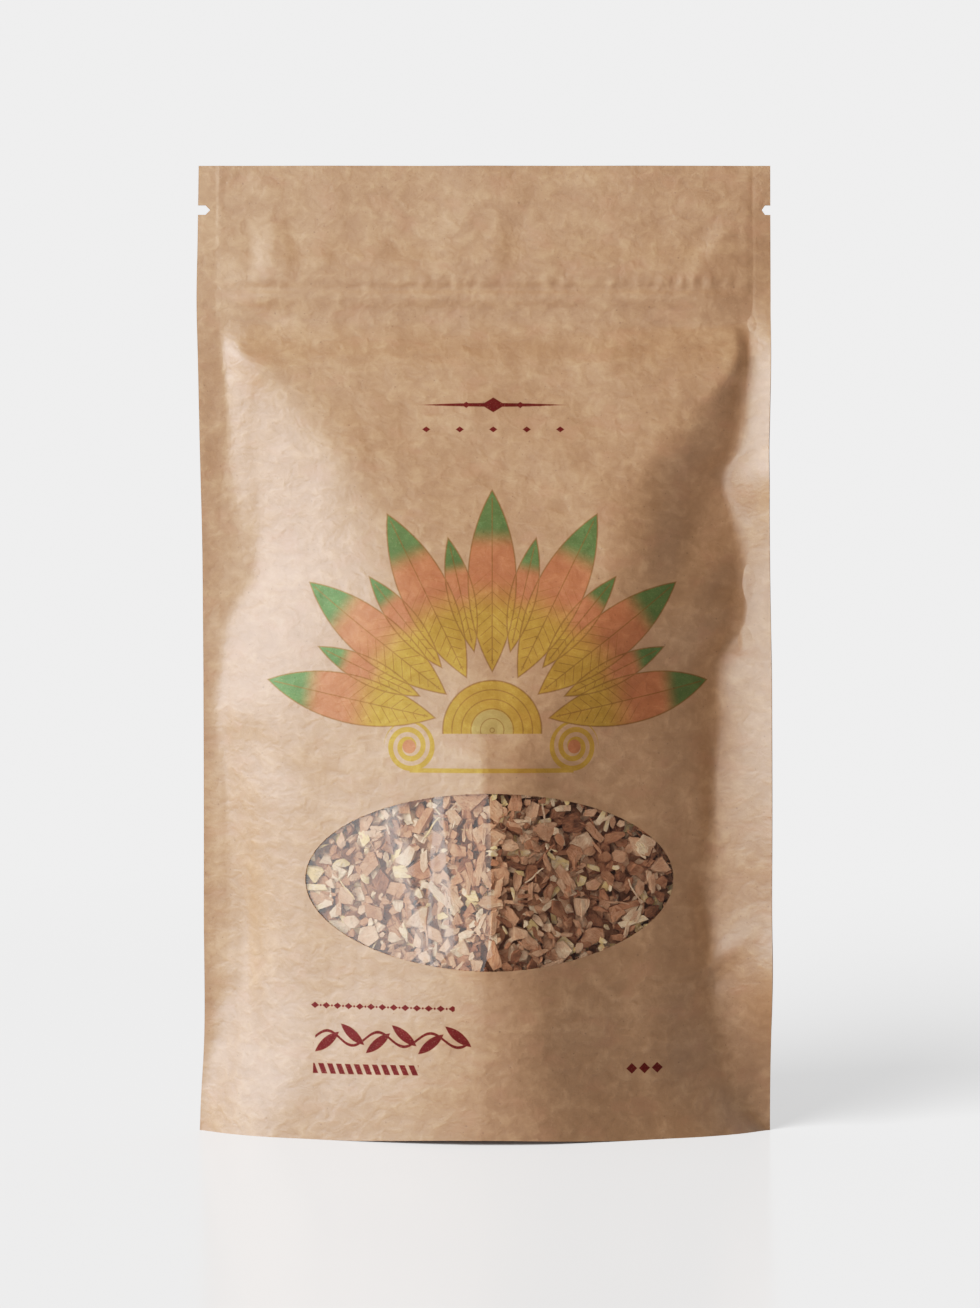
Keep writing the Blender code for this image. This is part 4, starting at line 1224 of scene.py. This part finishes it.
def burgundy_ornaments(x, z):
    """Where the burgundy ink lies: a tapered rule, and bands of lozenges, leaves and bars."""
    rule_x, rule_z = x - RULE_AT[0], z - RULE_AT[1]
    rule = lens(rule_x, rule_z, 20, 0.55).inside(0.2).most(lozenge(rule_x, rule_z, 3.4, 2.1).inside(0.2))
    rule = rule.most((lozenge(rule_x.away() - 7.5, rule_z, 1.3, 0.9)).inside(0.2))
    small_x = repeat(rule_x, 9.3)
    small = lozenge(small_x, z - SMALL_LOZENGES_UP, 1.15, 0.85).inside(0.2) * span(x, -18.0, 22.6)

    from_left, line_z = x - BANDS_LEFT, z - LOZENGES_UP
    line = lozenge(repeat(from_left, LOZENGE_PITCH), line_z, 1.25, 0.9).inside(0.2)
    dot_x = repeat(x + 47.9, LOZENGE_PITCH)
    line = line.most((length_of(dot_x, line_z) - 0.32).inside(0.2)) * span(x, -50.8, -8.2)

    leaves_z = z - LEAVES_UP
    wave = (from_left / LEAF_PITCH * (2 * math.pi)).math("SINE")
    stem = ((leaves_z - wave * 1.9).away() - 0.42).inside(0.2) * span(x, -49.4, -4.2)
    leaves = None
    for start, lean in ((-45.75, 38), (-38.05, -38)):
        leaf_x, leaf_z = repeat(x - start, LEAF_PITCH), leaves_z + (1.1 if lean > 0 else -1.1)
        a, b = turned(leaf_x, leaf_z, lean)
        pair = lens(a, b, 4.6, 1.35).inside(0.2)
        leaves = pair if leaves is None else leaves.most(pair)
    garland = stem.most(leaves * span(x, -50, -3.6))

    bars_z = z - BARS_UP
    bars = repeat(from_left + bars_z * 0.45, 2.7).away() - 0.85
    bars = bars.inside(0.2) * span(z, 18.0, 20.8) * span(x, -49.8, -18.4)
    three = lozenge(repeat(x - 43.0, 3.9), bars_z, 1.7, 1.5).inside(0.2) * span(x, 41.0, 52.7)
    total = rule
    for more in (small, line, garland, bars, three):
        total = total.most(more)
    return total


def new_material(name):
    """A material, its node tree and its shader."""
    material = bpy.data.materials.new(name)
    material.use_nodes = True
    return material, material.node_tree, material.node_tree.nodes["Principled BSDF"]


def parts_of(tree, vector):
    """The three parts of a vector, as fields."""
    return [Field(tree, part) for part in add_node(tree, "SeparateXYZ", {0: vector}).outputs]


def sheet_place(tree):
    """The two coordinates on the sheet, in millimetres."""
    x, z, _ = parts_of(tree, add_node(tree, "UVMap", uv_map="sheet").outputs["UV"])
    return (x - 0.5) * SHEET_SPAN[0], z * SHEET_SPAN[1]


def object_place(tree):
    """The three coordinates of a piece, in millimetres."""
    return [part * 1000 for part in parts_of(tree, add_node(tree, "TexCoord").outputs["Object"])]


def noise(tree, parts, detail=2.0, roughness=0.5, distortion=0.0):
    """Noise from 0 to 1 at coordinates given as fields or numbers."""
    place = add_node(tree, "CombineXYZ", enumerate(parts))
    entries = {"Vector": place, "Scale": 1, "Detail": detail, "Roughness": roughness, "Distortion": distortion}
    return Field(tree, add_node(tree, "TexNoise", entries).outputs["Fac"])


def bump(tree, height, distance, strength=1.0):
    """A normal from a height."""
    entries = {"Strength": strength, "Distance": distance, "Height": height}
    return add_node(tree, "Bump", entries).outputs["Normal"]


def kraft(name, printed):
    """Brown kraft paper under a thin satin film: cloudy, with streaks, curled fibres and dark specks."""
    material, tree, shader = new_material(name)
    x, z = sheet_place(tree)
    clouds = noise(tree, (x * 0.05, z * 0.07, 3.0), detail=2, roughness=0.6)
    patches = noise(tree, (x * 0.20, z * 0.25, 8.0), detail=2, roughness=0.6, distortion=0.4)
    mottles = noise(tree, (x * 0.5, z * 0.55, 1.0), detail=2, roughness=0.55, distortion=0.4)
    curls = noise(tree, (x * 0.55, z * 0.75, 5.0), detail=1, distortion=1.8)
    knots = noise(tree, (x * 0.6, z * 0.7, 17.0), detail=1, distortion=1.4)
    sparse = noise(tree, (x * 0.3, z * 0.35, 21.0), detail=1)
    fine = noise(tree, (x * 1.9, z * 2.3, 2.0), detail=2, roughness=0.7)
    specks = noise(tree, (x * 1.1, z * 1.1, 12.0), detail=0).upto(0.79, 0.85)

    curl = (curls - 0.5).away().upto(0.02, 0.005) * sparse.upto(0.48, 0.62)
    knot = (knots - 0.5).away().upto(0.016, 0.004) * sparse.upto(0.50, 0.38)
    pale = clouds * 0.42 + patches * 0.60 + mottles * 0.30 + fine * 0.18
    brown = mix_colour(tree, pale.upto(0.52, 0.98), KRAFT_DARK, KRAFT_BROWN)
    brown = mix_colour(tree, pale.upto(0.74, 1.05) * 0.5, brown, KRAFT_PALE)
    rose = noise(tree, (x * 0.10, z * 0.16, 31.0), detail=2).upto(0.52, 0.70)
    brown = mix_colour(tree, rose * 0.45, brown, KRAFT_ROSE)
    brown = mix_colour(tree, curl * 0.28, brown, KRAFT_PALE)
    brown = mix_colour(tree, knot * 0.24 + specks * 0.5, brown, KRAFT_SPECK)
    if printed:
        ink = mix_colour(tree, burgundy_ornaments(x, z), palmette(tree, x, z), INK_BURGUNDY)
        ink = mix_colour(tree, fine.upto(0.54, 0.80) * 0.25, ink, WHITE)
        brown = mix_colour(tree, 1, brown, ink, "MULTIPLY")
        feed(tree, shader, {"Specular Tint": ink})
    height = patches * 1.5 + mottles * 0.5 + fine * 0.10 + curl * 0.08 - knot * 0.06
    normal = bump(tree, height, 0.00016)
    feed(tree, shader, {"Base Color": brown, "Roughness": 0.5, "IOR": 1.8, "Normal": normal})
    return material


def clear_film():
    """Clear film: seen through, with a soft sheen that grows towards its edges."""
    material, tree, shader = new_material("clear_film")
    tree.nodes.remove(shader)
    x, z = sheet_place(tree)
    fresnel = Field(tree, add_node(tree, "Fresnel", {"IOR": 1.5}).outputs[0])
    front = Field(tree, add_node(tree, "NewGeometry").outputs["Backfacing"]) * -1 + 1
    share = (fresnel * 2.35).least(0.5) * front
    ripples = noise(tree, (x * 0.08, z * 0.12, 4.0), detail=1)
    gloss = add_node(tree, "BsdfGlossy", {"Roughness": 0.05, "Normal": bump(tree, ripples, 0.0001)})
    mixed = add_node(tree, "MixShader", {0: share, 1: add_node(tree, "BsdfTransparent"), 2: gloss})
    feed(tree, tree.nodes["Material Output"], {"Surface": mixed})
    return material


def attribute(tree, name):
    """An attribute that the mesh carries."""
    return add_node(tree, "Attribute", attribute_name=name)


def ramp(tree, value, stops):
    """A colour ramp read at a value."""
    node = add_node(tree, "ValToRGB", {0: value})
    while len(node.color_ramp.elements) < len(stops):
        node.color_ramp.elements.new(0.5)
    for element, (place, colour) in zip(node.color_ramp.elements, stops):
        element.position = place
        element.color = colour
    return node.outputs["Color"]


def dry_root():
    """Dried root: each piece has its own tone, streaked along its grain and darker in its pores."""
    material, tree, shader = new_material("dry_root")
    a, b, c = parts_of(tree, attribute(tree, "grain").outputs["Vector"])
    tone = Field(tree, attribute(tree, "tone").outputs["Fac"])
    threads = noise(tree, (a * 0.5, b * 2.6, c * 2.6), detail=3, roughness=0.65, distortion=0.4)
    blotches = noise(tree, (a * 0.35, b * 0.35, c * 0.35), detail=2)
    pores = noise(tree, (a * 1.8, b * 4.5, c * 4.5), detail=1).upto(0.62, 0.74)
    shade = tone + (threads - 0.5) * 0.42 + (blotches - 0.5) * 0.50
    colour = ramp(tree, shade, ROOT_TONES)
    colour = mix_colour(tree, pores * 0.22, colour, PORE)
    normal = bump(tree, threads + blotches * 2 + pores * -0.4, 0.0005, 0.8)
    feed(tree, shader, {"Base Color": colour, "Roughness": 0.75, "Specular IOR Level": 0.15, "Normal": normal})
    return material


def root_mass():
    """The lumps between and behind the pieces, coloured darker than the pieces as painted shade in the gaps.
    """
    material, tree, shader = new_material("root_mass")
    x, y, z = object_place(tree)
    lumps_here = noise(tree, (x * 0.28, y * 0.28, z * 0.28), detail=3, roughness=0.6)
    colour = ramp(tree, lumps_here, MASS_PAINTED_SHADE_TONES)
    normal = bump(tree, lumps_here, 0.0012)
    feed(tree, shader, {"Base Color": colour, "Roughness": 0.85, "Specular IOR Level": 0.1, "Normal": normal})
    return material


def zip_plastic():
    """Milky polythene with a slight haze."""
    material, tree, shader = new_material("zip_plastic")
    x, y, z = object_place(tree)
    haze = noise(tree, (x * 0.15, y * 2.0, z * 2.0), detail=2)
    colour = mix_colour(tree, haze, PLASTIC, PLASTIC_HAZE)
    normal = bump(tree, haze, 0.0001)
    feed(tree, shader, {"Base Color": colour, "Roughness": 0.38, "Subsurface Weight": 0.15, "Normal": normal})
    return material


def sky(way_y):
    """Brightness of the studio in a direction, by its part along Y: dimmer in front, white behind."""
    share = np.clip((way_y - SKY_EDGE[0]) / (SKY_EDGE[1] - SKY_EDGE[0]), 0, 1)
    return SKY_FRONT + (SKY_REAR - SKY_FRONT) * eased(share)


def studio_world():
    """An even pale backdrop to the camera, and to all else a room dimmer in front than behind."""
    world = bpy.data.worlds.new("studio")
    bpy.context.scene.world = world
    world.use_nodes = True
    tree = world.node_tree
    way_y = parts_of(tree, add_node(tree, "TexCoord").outputs["Generated"])[1]
    room = way_y.upto(*SKY_EDGE) * (SKY_REAR - SKY_FRONT) + SKY_FRONT
    seen = Field(tree, add_node(tree, "LightPath").outputs["Is Camera Ray"])
    strength = room * (seen * -1 + 1) + seen * BACKDROP
    feed(tree, tree.nodes["Background"], {"Strength": strength, "Color": WHITE})


def lamp_frame(lamp):
    """A lamp's centre, its unit axes across, up and forwards, and its half sizes, in metres."""
    low, high = lamp["heights"]
    right, left = np.array([*lamp["right"], 0]), np.array([*lamp["left"], 0])
    along = (right - left) / np.linalg.norm(right - left)
    upright = np.array([0, 0, 1.0])
    facing = np.cross(upright, along)
    across = along * facing[1] + upright * facing[0]
    up = upright * facing[1] - along * facing[0]
    centre = (right + left) / 2 + upright * (low + high) / 2
    return centre, across, up, facing, np.linalg.norm(right - left) / 2, (high - low) / 2


def lamps(parts):
    """The soft boxes. The front one's right edge is on the view's axis."""
    for name, lamp in LAMPS.items():
        centre, across, up, facing, half_width, half_height = lamp_frame(lamp)
        data = bpy.data.lights.new(name, "AREA")
        data.shape = "RECTANGLE"
        data.size, data.size_y = 2 * half_width, 2 * half_height
        data.energy = lamp["radiance"] * math.pi * 4 * half_width * half_height
        obj = in_scene(name, data)
        obj.location = centre
        obj.rotation_euler = Matrix((across, up, -facing)).transposed().to_euler()
        obj.visible_camera = False
        obj.visible_glossy = name != "far"
        receivers = bpy.data.collections.new(f"{name}_receivers")
        for part in LEFT_OUT.get(name, (ALONE.get(name),)):
            receivers.objects.link(parts[part])
        for link in receivers.collection_objects:
            link.light_linking.link_state = "EXCLUDE" if name in LEFT_OUT else "INCLUDE"
        obj.light_linking.receiver_collection = receivers


def lamp_on_floor(x, y, steps=14):
    """The far lamp's share of the floor's brightness, for a white floor with nothing on it."""
    total = np.zeros_like(x)
    shares = (np.arange(steps) + 0.5) / steps * 2 - 1
    lamp = LAMPS["far"]
    centre, across, up, facing, half_width, half_height = lamp_frame(lamp)
    patch = 4 * half_width * half_height / steps**2
    for a in shares:
        for b in shares:
            spot = centre + across * a * half_width + up * b * half_height
            dx, dy = spot[0] - x, spot[1] - y
            squared = dx * dx + dy * dy + spot[2] ** 2
            off_lamp = np.maximum(-(dx * facing[0] + dy * facing[1]), 0)
            total += lamp["radiance"] * spot[2] * off_lamp * patch / (math.pi * squared**2)
    return total


def sky_on_floor(steps=60):
    """The room's share of the floor's brightness, for a white floor with nothing on it."""
    turns = (np.arange(steps) + 0.5) / steps * 2 * math.pi
    rises = np.arcsin(np.sqrt((np.arange(steps) + 0.5) / steps))
    return float(np.mean(sky(np.cos(rises)[:, None] * np.sin(turns)[None, :])))


def floor():
    """A pale floor that is even where nothing shades it, and mirrors the pouch faintly. Nothing mirrors it."""
    bpy.ops.mesh.primitive_grid_add(
        x_subdivisions=FLOOR_CELLS, y_subdivisions=FLOOR_CELLS, size=2 * FLOOR_REACH
    )
    obj = bpy.context.object
    obj.name = "floor"
    points = mesh_points(obj.data)
    lit = FLOOR_ALBEDO * (lamp_on_floor(points[:, 0], points[:, 1]) + sky_on_floor())
    matt = (BACKDROP - FLOOR_GLOSS * SKY_REAR) / (1 - FLOOR_GLOSS)
    near, far = FLOOR_EVEN
    away = np.clip((np.hypot(points[:, 0], points[:, 1]) - near) / (far - near), 0, 1)
    for name, values in (("glow", np.maximum(matt - lit, 0)), ("far", eased(away))):
        layer = obj.data.attributes.new(name, "FLOAT", "POINT")
        layer.data.foreach_set("value", values.astype(np.float32))
    obj.data.materials.append(floor_finish())
    obj.visible_glossy = obj.visible_shadow = False
    return obj


def floor_finish():
    """Matt white with a faint gloss, and its own glow where the lamps fall short; near the pouch the glow
    fades with the open sky, a painted contact shade. Far off it is all glow.
    """
    material, tree, shader = new_material("pale_floor")
    tree.nodes.remove(shader)
    # Painted contact shade: the glow fades where little open sky is seen, under and right beside the pouch.
    open_sky = add_node(tree, "AmbientOcclusion", {"Distance": CONTACT_REACH}, samples=8)
    open_share = Field(tree, open_sky.outputs["AO"]).upto(*CONTACT_SHADE)
    seen = Field(tree, add_node(tree, "LightPath").outputs["Is Camera Ray"])
    own = Field(tree, attribute(tree, "glow").outputs["Fac"])
    matt = add_node(tree, "BsdfDiffuse", {"Color": (FLOOR_ALBEDO, FLOOR_ALBEDO, FLOOR_ALBEDO, 1)})
    glow = add_node(tree, "Emission", {"Strength": own * seen * open_share})
    gloss = add_node(tree, "BsdfGlossy", {"Roughness": FLOOR_GLOSS_ROUGHNESS})
    both = add_node(tree, "AddShader", {0: matt, 1: glow})
    mixed = add_node(tree, "MixShader", {0: FLOOR_GLOSS, 1: both, 2: gloss})
    even = add_node(tree, "Emission", {"Strength": BACKDROP})
    whole = add_node(tree, "MixShader", {0: attribute(tree, "far").outputs["Fac"], 1: mixed, 2: even})
    feed(tree, tree.nodes["Material Output"], {"Surface": whole})
    return material


def camera():
    """The camera, level and straight in front."""
    data = bpy.data.cameras.new("camera")
    data.lens = CAMERA_LENS
    data.sensor_width = SENSOR
    data.clip_start, data.clip_end = 0.05, 50
    obj = in_scene("camera", data)
    obj.location = CAMERA_PLACE
    obj.rotation_euler = (math.pi / 2, 0, 0)
    bpy.context.scene.camera = obj


def set_tones():
    """Lays the tone curve over the picture."""
    view = bpy.context.scene.view_settings
    view.view_transform = "Standard"
    view.use_curve_mapping = True
    brightest = TONES[-1][0]
    view.curve_mapping.white_level = (brightest, brightest, brightest)
    curve = view.curve_mapping.curves[3]
    for light, tone in TONES[1:-1]:
        curve.points.new(light / brightest, tone)
    view.curve_mapping.update()


def dress(obj, material, node):
    """Gives a piece its finish, hangs it under the body named root, and hides the solid it stands for."""
    obj.data.materials.clear()
    obj.data.materials.append(material)
    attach(obj, "root")
    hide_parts(node)


def main():
    """Sets the stage and builds the pouch."""
    set_tones()
    bpy.ops.object.select_all(action="DESELECT")
    camera()
    studio_world()
    lit_floor = floor()

    front = panel("front_panel_sheet", FRONT, SIDE_COLUMNS, STRIP_COLUMNS, ROW_BANDS, front_face, front_relief,
                  -1, True)
    back = panel("back_panel_sheet", BACK, BACK_SIDE_COLUMNS, BACK_STRIP_COLUMNS, BACK_ROW_BANDS, back_face,
                 back_relief, 1, False)
    cutters = [window_cutter(), notch_cutter(-1, NOTCH_DEPTH[0]), notch_cutter(1, NOTCH_DEPTH[1])]
    for cutter in cutters:
        cut_with(front, cutter)
    for cutter in cutters[1:]:
        cut_with(back, cutter)
    for cutter in cutters:
        bpy.data.objects.remove(cutter)
    film = window_film()
    gusset = bottom_gusset()
    for obj in (front, back, film, gusset):
        smooth(obj)

    dress(front, kraft("kraft_front", True), "front_panel")
    dress(back, kraft("kraft_back", False), "back_panel")
    dress(gusset, kraft("kraft_gusset", False), "bottom_gusset")
    dress(film, clear_film(), "window_film")
    root = dry_root()
    for obj in cut_root():
        if obj.name == "root_core":
            smooth(obj, CORE_SHARP_ANGLE)
            dress(obj, root_mass(), "cut_root")
        else:
            dress(obj, root, "cut_root")
    plastic = zip_plastic()
    for name in ("zip_rib", "zip_channel"):
        dress(zip_strip(name), plastic, name)
    lamps({"floor": lit_floor, "film": film})


main()
